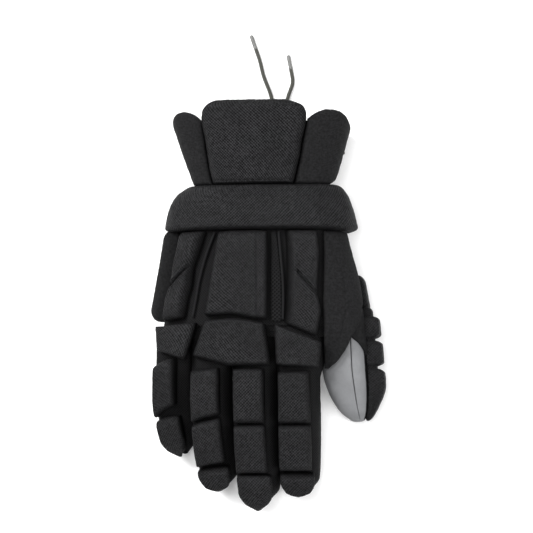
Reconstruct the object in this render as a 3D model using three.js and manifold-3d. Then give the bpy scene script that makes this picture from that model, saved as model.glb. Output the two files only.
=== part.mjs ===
// Ball hockey glove for the right hand, lying palm down. Millimetres, +Z up.
// Fingers point along -Y, the cuff along +Y, the thumb along +X, the back of the hand along +Z.
// The origin is the middle of the glove's box on the surface that it lies on.
//
// The glove is a set of tubes (hand, five digits, cuff), each given by a short table of sections.
// Cloth and leather are walls of these tubes, and pads are blocks laid on them.

import * as THREE from "three";
import { mergeVertices } from "three/addons/utils/BufferGeometryUtils.js";
import Module from "manifold-3d";

const wasm = await Module();
wasm.setup();

// Walls and padding
const CLOTH = 1.8;
const LEATHER = 1.5;
const GAP = 0.3;
const SEAT = 0.5;
const TIP_SEAT = 0.9;
const FINGER_PAD = 10;
const TIP_PAD = 8.5;
const BACK_PAD = 10;
const ROLL = 13;
const THUMB_PAD = 12;
const SIDE_PANEL = 4;
const CUFF_PAD = 11;
const FLARE = 6.5;

// Places along the glove
const WRIST = 104;
const KNUCKLES = -20;
const FINGER_ROOT = KNUCKLES - GAP;
const BAND_EDGE = 63;

// Drawcord
const CORD_RADIUS = 1.75;
const CORD_FACES = 8;
const CORD_STEP = 9;
const LOCK = { x: 8, y: 162, width: 22, height: 9, length: 10, bore: 2.7, pitch: 9 };
const AGLET = { radius: 1.7, length: 13, faces: 10 };
const EYELET = { inner: 2.1, wall: 1, outer: 5.2, rim: 1.2, faces: 12, over: 0.5, under: 1.6 };

const table = (names, ...rows) =>
  rows.map((row) => Object.fromEntries(names.map((name, i) => [name, row[i]])));

const SECTION = ["y", "left", "right", "top", "side", "bottom"];

// Outside of the hand's wall, from the wrist to past the knuckles
const HAND_ROWS = table(
  [...SECTION, "mound"],
  [105, -63, 58, 46, 25, 0, 0],
  [96, -72, 62, 46.5, 25, -2, -2],
  [85, -76, 64, 47, 24, -3, -3],
  [62, -78, 67, 47, 23, -3, -3],
  [40, -81, 72, 47, 22, -2, -3],
  [20, -84.5, 78, 47.5, 22, 1.5, -2],
  [0, -88, 82, 48, 24, 10, 0],
  [-20, -92, 85.5, 48.5, 27, 17, 4],
  [-40, -99, 88, 48.5, 27.5, 18, 4],
  [-60, -100, 88, 48, 28, 17, 4],
);
// Where the low thumb mound begins and ends across the palm
const MOUND_FROM = 32;
const MOUND_TO = 58;

const THUMB_ROWS = table(
  SECTION,
  [-12, 48, 85, 42, 21, 3],
  [-30, 49, 86.5, 39.5, 20, 2],
  [-50, 48.8, 88, 36.5, 18.5, 0.5],
  [-60, 50, 88.5, 34.5, 17.5, -0.5],
  [-70, 54, 89, 32, 16, -1],
  [-80, 59, 88.8, 28.5, 14.5, -1],
  [-90, 65, 88, 24, 12.5, -1],
  [-97, 70.5, 86.5, 19, 10.5, 0],
  [-102, 75, 84, 13.5, 8.5, 3],
);

const CUFF_ROWS = table(
  SECTION,
  [105, -58.5, 53.5, 46, 26, 8.5],
  [125, -65, 59, 48.5, 27, 8.5],
  [145, -72, 65, 51, 28, 8.5],
  [160, -77.5, 69, 53, 28.5, 9],
  [177, -80, 71, 55, 29, 10],
);

// A finger from its root to its tip: share of the way, heights, and share of its full width
const FINGER_ROWS = table(
  ["share", "top", "side", "bottom", "width"],
  [-0.1, 47.6, 31, 15.5, 1],
  [0.12, 48.2, 32, 19, 1],
  [0.29, 47.5, 31, 17.5, 1],
  [0.46, 45, 28, 14, 1],
  [0.59, 41, 24, 10, 1],
  [0.72, 35, 19.5, 5.5, 0.99],
  [0.84, 28, 14.5, 1.5, 0.96],
  [0.93, 22, 11, -0.5, 0.9],
  [1, 17, 9, 0, 0.8],
);
const FINGER_START = -15;
const TIP_ROUND = 15;
const TIP_CLOSING = 0.93;
const FINGERS = table(
  ["name", "root", "middle", "tip", "half", "end", "crown"],
  ["pinky", -79.5, -81.5, -75, 14.3, -129.5, 0.83],
  ["ring", -48, -49, -43, 16.3, -161.5, 0.965],
  ["middle", -9.5, -9.5, -8, 17.3, -176, 0.995],
  ["index", 29.5, 29.8, 28, 17.2, -166.5, 0.985],
);

const clamp = (x, low, high) => Math.min(high, Math.max(low, x));
const lerp = (a, b, t) => a + (b - a) * t;
const radians = (degrees) => (degrees * Math.PI) / 180;
const steps = (from, to, count) => Array.from({ length: count + 1 }, (_, i) => lerp(from, to, i / count));
const smooth = (x, from, to) => {
  const t = clamp((x - from) / (to - from), 0, 1);
  return t * t * (3 - 2 * t);
};

// A smooth curve through the rows of a table, one column against another
function column(rows, key, name, at) {
  const rising = rows[1][key] > rows[0][key] ? 1 : -1;
  const last = rows.length - 2;
  let i = 0;
  while (i < last && rising * at > rising * rows[i + 1][key]) i += 1;
  const slope = (k) => {
    const before = rows[Math.max(k - 1, 0)];
    const after = rows[Math.min(k + 1, last + 1)];
    return (after[name] - before[name]) / (after[key] - before[key]);
  };
  const [a, b] = [rows[i], rows[i + 1]];
  const span = b[key] - a[key];
  const t = (at - a[key]) / span;
  if (t < 0) return a[name] + slope(i) * (at - a[key]);
  if (t > 1) return b[name] + slope(i + 1) * (at - b[key]);
  const t2 = t * t;
  const t3 = t2 * t;
  return (
    (2 * t3 - 3 * t2 + 1) * a[name] +
    (t3 - 2 * t2 + t) * span * slope(i) +
    (3 * t2 - 2 * t3) * b[name] +
    (t3 - t2) * span * slope(i + 1)
  );
}

const power = (x, p) => Math.sign(x) * Math.abs(x) ** p;

// A tube's section at y is a rounded box: angle 0 is the thumb side, 90 the back, 270 the palm
function tubeOf(sectionAt, square, flat) {
  const point = (angle, y) => {
    const s = sectionAt(y);
    const half = (s.right - s.left) / 2;
    const x = (s.right + s.left) / 2 + half * power(Math.cos(angle), square);
    const sine = Math.sin(angle);
    const mound = s.mound ?? s.bottom;
    const bottom = lerp(s.bottom, mound, smooth(x, MOUND_FROM, MOUND_TO));
    const height = sine >= 0 ? (s.top - s.side) * sine ** square : (s.side - bottom) * power(sine, flat);
    return new THREE.Vector3(x, y, s.side + height);
  };
  const axis = (y) => {
    const s = sectionAt(y);
    return new THREE.Vector3((s.right + s.left) / 2, y, s.side);
  };
  // The angle on the back of the tube above a place across it
  const angleAt = (x, y) => {
    const s = sectionAt(y);
    const share = (x - (s.right + s.left) / 2) / ((s.right - s.left) / 2);
    return Math.acos(power(clamp(share, -0.999, 0.999), 1 / square));
  };
  return { point, axis, angleAt, sectionAt };
}

const sectionFrom = (rows) => (y) =>
  Object.fromEntries(Object.keys(rows[0]).map((name) => [name, column(rows, "y", name, y)]));

const hand = tubeOf(sectionFrom(HAND_ROWS), 0.8, 0.55);
const thumb = tubeOf(sectionFrom(THUMB_ROWS), 0.75, 0.65);
const cuff = tubeOf(sectionFrom(CUFF_ROWS), 0.85, 0.8);

function fingerTube(finger) {
  const length = FINGER_START - finger.end;
  const sectionAt = (y) => {
    const share = (FINGER_START - y) / length;
    const at = (name) => column(FINGER_ROWS, "share", name, share);
    const into = clamp((finger.end + TIP_ROUND - y) / TIP_ROUND, 0, 1);
    const round = Math.sqrt(1 - TIP_CLOSING * into * into);
    const bend = clamp((FINGER_START - y) / (FINGER_START + 80), 0, 1);
    const ahead = clamp((-80 - y) / (-80 - finger.end), 0, 1);
    const centre = lerp(lerp(finger.root, finger.middle, bend), finger.tip, ahead * ahead);
    const half = finger.half * at("width") * round;
    const side = at("side");
    return {
      left: centre - half,
      right: centre + half,
      side,
      top: side + (at("top") * finger.crown - side) * round,
      bottom: side - (side - at("bottom")) * round,
    };
  };
  return { ...tubeOf(sectionAt, 0.75, 0.65), ...finger };
}
const fingers = FINGERS.map(fingerTube);

// Materials, with the colours of the photograph
const cloth = (color) => new THREE.MeshStandardMaterial({ color, roughness: 0.85, metalness: 0 });
const MATERIALS = {
  pad: cloth(0x1c1c1d),
  panel: cloth(0x161617),
  mesh: cloth(0x0f0f10),
  leather: new THREE.MeshStandardMaterial({ color: 0x9799a0, roughness: 0.6, metalness: 0 }),
  binding: cloth(0x141415),
  cord: cloth(0x2b2b26),
  lock: new THREE.MeshStandardMaterial({ color: 0x3a3a3a, roughness: 0.4, metalness: 0 }),
  aglet: new THREE.MeshStandardMaterial({ color: 0x6a6a68, roughness: 0.4, metalness: 0 }),
  eyelet: new THREE.MeshStandardMaterial({ color: 0x24231f, roughness: 0.35, metalness: 0.9 }),
};

const glove = new THREE.Group();
function add(name, geometry, material) {
  const mesh = new THREE.Mesh(geometry, material);
  mesh.name = name;
  glove.add(mesh);
  return mesh;
}

// The outward normal of a surface with parameters (s, t), seen from a point inside it
function outward(surface, inside, s, t) {
  const d = 1e-3;
  const along = surface(Math.min(s + d, 1), t).sub(surface(Math.max(s - d, 0), t));
  const down = surface(s, Math.min(t + d, 1)).sub(surface(s, Math.max(t - d, 0)));
  const normal = along.cross(down).normalize();
  const from = surface(s, t).sub(inside(s, t));
  return normal.dot(from) < 0 ? normal.negate() : normal;
}

// A surface moved along its outward normal, by a number or by a function of (s, t)
const distanceAt = (distance, s, t) => (typeof distance === "function" ? distance(s, t) : distance);
const shifted = (surface, inside, distance) => (s, t) =>
  surface(s, t).addScaledVector(outward(surface, inside, s, t), distanceAt(distance, s, t));

// The same, kept in the plane across the glove
const shiftedAcross = (surface, inside, distance) => (s, t) => {
  const way = outward(surface, inside, s, t);
  way.y = 0;
  return surface(s, t).addScaledVector(way.normalize(), distanceAt(distance, s, t));
};

const above = (floor, surface) => (s, t) => {
  const p = surface(s, t);
  p.z = Math.max(p.z, floor);
  return p;
};

// A closed solid between the outer and inner surfaces of one or more grids of parameters.
// Grids that share points along an edge are joined there, and every free edge gets a rim.
function sheet(grids) {
  const outer = [];
  const inner = [];
  const known = new Map();
  const number = (grid, s, t) => {
    const p = grid.outer(s, t);
    const key = p.toArray().map((x) => x.toFixed(3)).join();
    if (!known.has(key)) {
      known.set(key, outer.length);
      outer.push(p);
      inner.push(grid.inner(s, t));
    }
    return known.get(key);
  };
  const quads = grids.flatMap((grid) => {
    const ids = grid.along.map((t) => grid.across.map((s) => number(grid, s, t)));
    return ids.slice(1).flatMap((row, j) =>
      row.slice(1).map((_, i) => [ids[j][i], ids[j][i + 1], row[i + 1], row[i]]),
    );
  });
  const layer = outer.length;
  const edges = new Set(quads.flatMap((q) => q.map((a, i) => `${a},${q[(i + 1) % 4]}`)));
  const faces = [];
  const face = (a, b, c, d) => faces.push(a, b, c, a, c, d);
  for (const q of quads) {
    const [a, b, c, d] = q;
    face(a, b, c, d);
    face(layer + a, layer + d, layer + c, layer + b);
    q.forEach((from, i) => {
      const to = q[(i + 1) % 4];
      if (!edges.has(`${to},${from}`)) face(to, from, layer + from, layer + to);
    });
  }
  return closed([...outer, ...inner], faces);
}
const slab = (outer, inner, across, along) => sheet([{ outer, inner, across, along }]);

// A geometry from points and triangles, turned so that its faces point out
function closed(points, faces) {
  let volume = 0;
  for (let i = 0; i < faces.length; i += 3) {
    const [a, b, c] = faces.slice(i, i + 3).map((k) => points[k]);
    volume += a.dot(b.clone().cross(c));
  }
  const geometry = new THREE.BufferGeometry();
  const places = points.flatMap((p) => p.toArray());
  geometry.setAttribute("position", new THREE.Float32BufferAttribute(places, 3));
  geometry.setIndex(volume > 0 ? faces : faces.toReversed());
  return mergeVertices(geometry, 1e-4);
}

function solidOf(geometry) {
  const bare = new THREE.BufferGeometry();
  bare.setAttribute("position", geometry.getAttribute("position").clone());
  bare.setIndex(geometry.index ?? [...Array(geometry.getAttribute("position").count).keys()]);
  const merged = mergeVertices(bare, 1e-4);
  return new wasm.Manifold(
    new wasm.Mesh({
      numProp: 3,
      vertProperties: Float32Array.from(merged.getAttribute("position").array),
      triVerts: Uint32Array.from(merged.index.array),
    }),
  );
}

function geometryOf(solid) {
  const mesh = solid.getMesh();
  const geometry = new THREE.BufferGeometry();
  geometry.setAttribute("position", new THREE.Float32BufferAttribute(mesh.vertProperties, 3));
  geometry.setIndex([...mesh.triVerts]);
  return geometry;
}

// A wall over part of a tube, between two angles and two places along it
function wall(tube, fromAngle, toAngle, fromY, toY, thick) {
  const place = (s, t) => [radians(lerp(fromAngle, toAngle, s)), lerp(fromY, toY, t)];
  const surface = (s, t) => tube.point(...place(s, t));
  const inside = (s, t) => tube.axis(place(s, t)[1]);
  return {
    outer: above(0, surface),
    inner: above(thick, shifted(surface, inside, -thick)),
  };
}

// Shares of the way along a digit, closer together towards its tip
const alongDigit = (count) => steps(0, 1, count).map((t) => Math.sin((t * Math.PI) / 2) ** 0.9);

// Between SLOT_END and SLOT_START the leather turns from the flat palm into a finger's front
const SLOT_END = -21;
const SLOT_START = -38;
const fingerStations = (finger) => [
  (SLOT_END + SLOT_START) / 2,
  ...alongDigit(8).map((t) => lerp(SLOT_START, finger.end, t)),
];

// Hand and digit walls
const LEATHER_EDGE = 25;
const EDGE_GAP = 1;
const DIGIT_EDGE_GAP = 4;
const BACK_FROM = -LEATHER_EDGE;
const BACK_TO = 180 + LEATHER_EDGE;

const HAND_FACETS = 16;
const HAND_STATIONS = [WRIST, 100, 95, 85, 72, 62, 40, 20, 0, KNUCKLES];
const handShares = HAND_STATIONS.map((y) => (WRIST - y) / (WRIST - KNUCKLES));
const liner = wall(hand, BACK_FROM, BACK_TO, WRIST, KNUCKLES, CLOTH);
add("back_liner", slab(liner.outer, liner.inner, steps(0, 1, HAND_FACETS), handShares), MATERIALS.mesh);

for (const finger of fingers) {
  const sleeve = wall(finger, BACK_FROM, BACK_TO, FINGER_ROOT, finger.end, CLOTH);
  const stations = [FINGER_ROOT, ...fingerStations(finger)];
  const along = stations.map((y) => (y - FINGER_ROOT) / (finger.end - FINGER_ROOT));
  add(`sleeve_${finger.name}`, slab(sleeve.outer, sleeve.inner, steps(0, 1, 8), along), MATERIALS.mesh);
}

// The thumb's wall is cut in three: cloth under its pads, a narrow gusset and the leather front
const THUMB_END = -101.5;
const THUMB_CLOTH_TO = 27;
const THUMB_SEAM = 58;
const thumbParts = table(
  ["name", "from", "to", "count", "thick", "material"],
  ["thumb_sleeve", BACK_FROM - 8, THUMB_CLOTH_TO, 3, CLOTH, MATERIALS.mesh],
  ["thumb_gusset", THUMB_CLOTH_TO + 2, THUMB_SEAM, 2, LEATHER, MATERIALS.leather],
);
for (const part of thumbParts) {
  const skin = wall(thumb, part.from, part.to, FINGER_ROOT, THUMB_END, part.thick);
  add(part.name, slab(skin.outer, skin.inner, steps(0, 1, part.count), alongDigit(8)), part.material);
}

// Palm leather: one strip for each finger, from the wrist to the fingertip, joined side by side
const SEAM_ROWS = table(["y", "x"], [WRIST, 20], [60, 26], [13, 37], [KNUCKLES, 47.5], [-60, 48]);
const seamAt = (y) => column(SEAM_ROWS, "y", "x", y);
const palmAngle = (x, y) => 2 * Math.PI - hand.angleAt(x, y);
const palmEdge = (y) => hand.point(radians(180 + LEATHER_EDGE + EDGE_GAP), y).x;
const rootEdges = [0, 1, 2].map((i) => {
  const [one, next] = [fingers[i], fingers[i + 1]];
  return (one.root + one.half + next.root - next.half) / 2;
});
const rootSpan = seamAt(KNUCKLES) - palmEdge(KNUCKLES);
const stripEdges = [0, ...rootEdges.map((x) => (x - palmEdge(KNUCKLES)) / rootSpan), 1];
const palmWide = (y) => seamAt(y) - EDGE_GAP / 2 - palmEdge(y);

const handSkin = (x, y) => hand.point(palmAngle(x, y), y);

function palmStrip(index) {
  const finger = fingers[index];
  const [low, high] = [stripEdges[index], stripEdges[index + 1]];
  const yAt = (t) => lerp(WRIST, finger.end, t);
  const edges = [BACK_TO + DIGIT_EDGE_GAP, 360 + BACK_FROM - DIGIT_EDGE_GAP];
  const fingerFront = wall(finger, ...edges, WRIST, finger.end, LEATHER);
  const palmX = (s, y) => palmEdge(y) + palmWide(y) * lerp(low, high, s);
  const palm = (s, t) => handSkin(palmX(s, yAt(t)), yAt(t));
  const inside = (s, t) => hand.axis(yAt(t));
  // The palm's own normal, the same for the strips on both sides of a shared edge
  const palmInner = (s, t) => {
    const y = yAt(t);
    const x = palmX(s, y);
    const local = (a, b) => handSkin(x + a - 0.5, y - b + 0.5);
    return palm(s, t).addScaledVector(outward(local, () => inside(s, t), 0.5, 0.5), -LEATHER);
  };
  const joined = (front, back) => (s, t) => {
    const share = smooth(yAt(t), SLOT_START, SLOT_END);
    if (share === 1) return back(s, t);
    return front(s, t).lerp(back(s, t), share);
  };
  const stations = [
    ...[WRIST, 96.1, 78.3, 50.8, 22.1, 1.6, -12],
    SLOT_END,
    ...fingerStations(finger),
  ];
  return {
    outer: joined(fingerFront.outer, above(0, palm)),
    inner: joined(fingerFront.inner, above(LEATHER, palmInner)),
    across: steps(0, 1, 4),
    along: stations.map((y) => (y - WRIST) / (finger.end - WRIST)),
  };
}
const palmSolid = solidOf(sheet([0, 1, 2, 3].map(palmStrip)));

// Thumb leather: a lower sheet from the wrist over the mound to the thumb's tip, and an upper one
// round the inner side of the thumb, joined along the angle THUMB_TURN
const THUMB_TURN = 200;
const THUMB_EDGE = 360 + BACK_FROM - 12;
const thumbLower = {
  angle: (s) => radians(lerp(THUMB_TURN, THUMB_EDGE, s)),
  y: (t) => lerp(WRIST, THUMB_END, t),
};
const moundEdge = (y) => hand.point(radians(360 + BACK_FROM - EDGE_GAP), y).x;
const moundX = (s, y) => lerp(seamAt(y) + EDGE_GAP / 2, moundEdge(y), s);
const moundPoint = (s, y) => handSkin(moundX(s, y), y);
const onThumb = (y) => 1 - smooth(y, SLOT_START, SLOT_END);
const lowerPoint = (s, t) => {
  const y = thumbLower.y(t);
  return moundPoint(s, y).lerp(thumb.point(thumbLower.angle(s), Math.min(y, SLOT_END)).setY(y), onThumb(y));
};
const upperY = (t) => lerp(FINGER_ROOT, THUMB_END, t);
const upperPoint = (s, t) => {
  const y = upperY(t);
  const share = lerp(THUMB_SEAM + 2, THUMB_TURN, s);
  const pull = lowerPoint(0, (y - WRIST) / (THUMB_END - WRIST)).sub(thumb.point(radians(THUMB_TURN), y));
  return thumb.point(radians(share), y).addScaledVector(pull, smooth(s, 0.3, 1));
};
const thumbStations = [FINGER_ROOT, ...alongDigit(9).map((t) => lerp(-26, THUMB_END, t))];
const thumbInside = (y) => (y > KNUCKLES ? hand.axis(y).setX(moundX(0.5, y)) : thumb.axis(y));
const lowerSheet = {
  outer: above(0, lowerPoint),
  inner: above(LEATHER, shifted(lowerPoint, (s, t) => thumbInside(thumbLower.y(t)), -LEATHER)),
  across: steps(0, 1, 5),
  along: [WRIST, 83.1, 61.5, 42.5, 19.1, 2.5, ...thumbStations].map((y) => (y - WRIST) / (THUMB_END - WRIST)),
};
const upperSheet = {
  outer: above(0, upperPoint),
  inner: above(LEATHER, shifted(upperPoint, (s, t) => thumb.axis(upperY(t)), -LEATHER)),
  across: steps(0, 1, 8),
  along: thumbStations.map((y) => (y - FINGER_ROOT) / (THUMB_END - FINGER_ROOT)),
};
const thumbSolid = solidOf(sheet([upperSheet, lowerSheet]));

// Patches: a flat outline on the palm, cut out of the leather and filled with mesh cloth
const PATCH_HIGH = 40;
function patchTool(corners, rounding, grow) {
  const shape = new THREE.Shape();
  corners.forEach(([x, y], i) => {
    const before = corners[(i + corners.length - 1) % corners.length];
    const after = corners[(i + 1) % corners.length];
    const near = (other) => {
      const far = Math.hypot(other[0] - x, other[1] - y);
      return [lerp(x, other[0], rounding / far), lerp(y, other[1], rounding / far)];
    };
    if (i === 0) shape.moveTo(...near(before));
    else shape.lineTo(...near(before));
    shape.quadraticCurveTo(x, y, ...near(after));
  });
  shape.closePath();
  const centre = [0, 1].map((k) => corners.reduce((sum, at) => sum + at[k] / corners.length, 0));
  const settings = { depth: PATCH_HIGH, bevelEnabled: false, curveSegments: 3 };
  const geometry = new THREE.ExtrudeGeometry(shape, settings);
  const size = 1 + grow / Math.hypot(corners[0][0] - centre[0], corners[0][1] - centre[1]);
  geometry.translate(-centre[0], -centre[1], -1);
  geometry.scale(size, size, 1);
  geometry.translate(centre[0], centre[1], 0);
  return solidOf(geometry);
}
const PALM_PATCH = [[-55, 20], [-4, -3], [10, 7], [-13, 73], [-31, 83], [-51, 71]];
const THUMB_PATCH = [[43, 23], [54, 20.5], [65, 19], [52, 47], [41, 68], [36, 60]];
const patches = [
  ["palm_leather", "palm_patch", palmSolid, PALM_PATCH, 8],
  ["thumb_leather", "thumb_patch", thumbSolid, THUMB_PATCH, 4.5],
];
for (const [skinName, patchName, skin, corners, rounding] of patches) {
  add(skinName, geometryOf(skin.subtract(patchTool(corners, rounding, GAP))), MATERIALS.leather);
  add(patchName, geometryOf(skin.intersect(patchTool(corners, rounding, -GAP))), MATERIALS.mesh);
}

// Height of a pad over its grid: lowered at the edges by a chamfer
const CHAMFER = 0.5;
const rampOf = (share, low, high) => clamp(Math.min(share / low, (1 - share) / high), 0, 1);
const padGrid = (count, low, high) => [0, ...steps(low, 1 - high, count), 1];

// A block on a tube: s runs from angle right to angle left, t from y from to y to.
// Its top is flat across, tilted by lean, and follows the tube's crown along it.
function block(tube, spec, thick, counts) {
  const { right, left, from, to, slantFrom = 0, slantTo = 0, lean = 0, seat = SEAT } = spec;
  const chamfers = { side: spec.side ?? 0.16, end: spec.end ?? 0.12 };
  const place = (s, t) => [
    radians(lerp(right, left, s)),
    lerp(from, to, t) + lerp(slantFrom, slantTo, t) * (s - 0.5),
  ];
  const base = (s, t) => tube.point(...place(s, t));
  const inside = (s, t) => tube.axis(place(s, t)[1]);
  const tilt = radians(lean);
  const upright = new THREE.Vector3(-Math.sin(tilt), 0, Math.cos(tilt));
  const sideways = new THREE.Vector3(Math.cos(tilt), 0, Math.sin(tilt));
  const crown = radians((right + left) / 2);
  const top = (s, t) => {
    const [, y] = place(s, t);
    const centre = tube.point(crown, y);
    const ahead = tube.point(crown, y - 0.5);
    const slope = Math.atan2(centre.clone().sub(ahead).dot(upright), 0.5);
    const rise = Math.max(
      ...steps(0, 1, 8).map((k) => tube.point(radians(lerp(right, left, k)), y).sub(centre).dot(upright)),
    );
    const ramp = Math.min(rampOf(s, chamfers.side, chamfers.side), rampOf(t, chamfers.end, chamfers.end));
    const high = rise + seat + thick * (1 - CHAMFER * (1 - ramp));
    const wide = base(s, t).sub(centre).dot(sideways) * (1 + 0.7 * Math.max(Math.sin(slope), 0) ** 2);
    return centre
      .addScaledVector(sideways, wide)
      .addScaledVector(upright, high * Math.cos(slope))
      .add(new THREE.Vector3(0, -high * Math.sin(slope), 0));
  };
  const across = padGrid(counts[0], chamfers.side, chamfers.side);
  const along = padGrid(counts[1], chamfers.end, chamfers.end);
  return slab(above(0, top), above(0, shifted(base, inside, seat)), across, along);
}

const BLOCKS = table(
  ["name", "finger", "from", "to", "right", "left", "slantFrom", "slantTo", "lean", "thick", "end"],
  ["pinky_pad_1", 0, -51, -93, 80, 172, -7, -11, 22, FINGER_PAD - 1, 0.12],
  ["pinky_tip", 0, -98, -129.5, 70, 172, -5, 0, 20, TIP_PAD - 1, 0.2],
  ["ring_pad_1", 1, -57.5, -99.5, 58, 149, -3, -8, 6, FINGER_PAD, 0.12],
  ["ring_pad_2", 1, -102, -138.5, 58, 149, -7, -5, 6, FINGER_PAD, 0.12],
  ["ring_tip", 1, -141, -161.5, 45, 155, -4, 0, 5, TIP_PAD, 0.25],
  ["middle_pad_1", 2, -57.5, -104, 60, 158, 0, 0, 4, FINGER_PAD, 0.12],
  ["middle_pad_2", 2, -105.5, -146, 60, 158, 0, 0, 4, FINGER_PAD, 0.12],
  ["middle_tip", 2, -148, -176, 45, 160, 0, 0, 3, TIP_PAD, 0.2],
  ["index_pad_1", 3, -60, -104, 58, 158, 0, 0, 4, FINGER_PAD, 0.12],
  ["index_pad_2", 3, -105.5, -144, 58, 158, 0, 0, 4, FINGER_PAD, 0.12],
  ["index_tip", 3, -146, -166.5, 45, 160, 0, 0, 3, TIP_PAD, 0.25],
);
for (const spec of BLOCKS) {
  const seat = spec.name.endsWith("tip") ? TIP_SEAT : SEAT;
  add(spec.name, block(fingers[spec.finger], { ...spec, seat }, spec.thick, [3, 3]), MATERIALS.pad);
}

const THUMB_BLOCKS = table(
  ["name", "tube", "from", "to", "right", "left", "thick", "end", "seat"],
  ["thumb_pad_root", hand, 24, -9.5, -27, 3, 6.5, 0.2, SEAT],
  ["thumb_pad_1", thumb, -12, -31, -30, 26, THUMB_PAD, 0.2, 1],
  ["thumb_pad_2", thumb, -33, -55, -30, 24, THUMB_PAD + 1, 0.16, SEAT],
  ["thumb_tip", thumb, -57, -101, -30, 24, THUMB_PAD + 1.5, 0.1, SEAT],
);
for (const spec of THUMB_BLOCKS) {
  add(spec.name, block(spec.tube, { ...spec, lean: -90 }, spec.thick, [2, 4]), MATERIALS.pad);
}

// Pads on the back of the hand are blocks over an outline, given by rungs from side to side
const deckPoint = (x, y) => {
  const low = hand.point(hand.angleAt(x, y), y);
  for (const finger of y < KNUCKLES + 3 ? fingers : []) {
    const s = finger.sectionAt(y);
    if (x > s.left && x < s.right) low.z = Math.max(low.z, finger.point(finger.angleAt(x, y), y).z);
  }
  return low;
};
function onRungs(rungs) {
  const along = (points, s) => {
    const at = s * (points.length - 1);
    const i = Math.min(Math.floor(at), points.length - 2);
    return [0, 1].map((k) => lerp(points[i][k], points[i + 1][k], at - i));
  };
  return (s, t) => along(rungs.map((rung) => along(rung, s)), t);
}
function deck(rungs, thick, counts, edges = {}) {
  const { right = 0.12, left = 0.12, start = 0.1, end = 0.1 } = edges;
  const place = onRungs(rungs);
  const smoothBase = (s, t) => hand.point(hand.angleAt(...place(s, t)), place(s, t)[1]);
  const inside = (s, t) => hand.axis(place(s, t)[1]);
  const ramp = (s, t) => Math.min(rampOf(s, left, right), rampOf(t, start, end));
  const top = shifted(smoothBase, inside, (s, t) => SEAT + thick * (1 - CHAMFER * (1 - ramp(s, t))));
  const under = (s, t) => {
    const p = shifted(smoothBase, inside, SEAT)(s, t);
    p.z = Math.max(p.z, deckPoint(p.x, p.y).z + SEAT);
    return p;
  };
  return slab(top, under, padGrid(counts[0], left, right), padGrid(counts[1], start, end));
}

const DECKS = [
  {
    name: "knuckle_pad_pinky",
    rungs: [[[-92, -21.5], [-58, -17]], [[-92, -41.5], [-68.5, -50]]],
    counts: [3, 2],
  },
  {
    name: "knuckle_pad_centre",
    rungs: [[[-50.5, -15.5], [-24.5, -13.5], [1, -18]], [[-62, -46.5], [-30.5, -55], [6.5, -55]]],
    counts: [4, 2],
    edges: { left: 0.08, right: 0.08 },
  },
  {
    name: "knuckle_pad_index",
    rungs: [[[9.5, -18.5], [50.5, -35]], [[11, -55], [48, -57.5]]],
    counts: [3, 2],
  },
  {
    name: "back_pad_pinky",
    rungs: [
      [[-71, BAND_EDGE], [-50, BAND_EDGE]],
      [[-74, 46], [-56, 45]],
      [[-77, 30], [-61, 31]],
      [[-79, 14], [-63, 14]],
      [[-83, 4], [-66, 5]],
      [[-86.5, -16.5], [-69, -13.5]],
    ],
    counts: [2, 5],
    edges: { left: 0.12, right: 0.3, end: 0.08 },
  },
  {
    name: "back_pad_centre",
    rungs: [
      [[-38.9, BAND_EDGE], [3.5, BAND_EDGE]],
      [[-51.5, -12], [-27.8, -10.5], [-10, -14], [3.6, -15.5]],
    ],
    counts: [4, 3],
    edges: { left: 0.06, right: 0.14, end: 0.06 },
  },
  {
    name: "back_pad_index",
    rungs: [
      [[18.5, BAND_EDGE], [45, BAND_EDGE]],
      [[19.5, 42], [47.5, 42]],
      [[19.5, 8], [47.5, 8]],
      [[19.5, -6], [48.5, -9]],
      [[17.5, -18.3], [46, -30.5]],
    ],
    counts: [2, 4],
    edges: { left: 0.3, right: 0.12, end: 0.08 },
  },
];
for (const { name, rungs, counts, edges } of DECKS) {
  add(name, deck(rungs, BACK_PAD, counts, edges), MATERIALS.pad);
}

const VENT = { from: 6, to: 14.6, end: -17, thick: 2, edge: 0.15 };
const ventRungs = [BAND_EDGE, VENT.end].map((y) => [[VENT.from, y], [VENT.to, y]]);
add("vent_strip", deck(ventRungs, VENT.thick, [1, 3], { left: VENT.edge, right: VENT.edge }), MATERIALS.mesh);

const rollSpec = { right: 171, left: 212, from: 61.8, to: -16, lean: 80, side: 0.25, end: 0.12, seat: 0.7 };
add("pinky_roll", block(hand, rollSpec, ROLL, [3, 6]), MATERIALS.pad);

// Piping: a thin cord of cloth sewn along a groove
const PIPING_RADIUS = 1.2;
const PIPING_FACES = 6;
const PIPING_STEPS = 8;
const PIPING_SEAT = 0.4;
const circle = (radius, count) => {
  const angles = steps(0, 2 * Math.PI, count).slice(1);
  return new THREE.Shape(angles.map((a) => new THREE.Vector2(radius * Math.cos(a), radius * Math.sin(a))));
};
function tubeAlong(curve, radius, faces, count) {
  const settings = { steps: count, bevelEnabled: false, extrudePath: curve };
  return new THREE.ExtrudeGeometry(circle(radius, faces), settings);
}
const PIPINGS = [
  ["piping_pinky", [[-43.5, BAND_EDGE - 1], [-52, 40], [-57.6, 19], [-60.5, 2], [-63.2, -12]]],
  ["piping_index", [[16.4, BAND_EDGE - 1], [16.8, 35], [16.9, 10], [16.4, -15]]],
];
for (const [name, route] of PIPINGS) {
  const points = route.map(([x, y]) => {
    const p = hand.point(hand.angleAt(x, y), y);
    p.z += PIPING_RADIUS + GAP + PIPING_SEAT;
    return p;
  });
  const curve = new THREE.CatmullRomCurve3(points);
  add(name, tubeAlong(curve, PIPING_RADIUS, PIPING_FACES, PIPING_STEPS), MATERIALS.binding);
}

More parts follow.
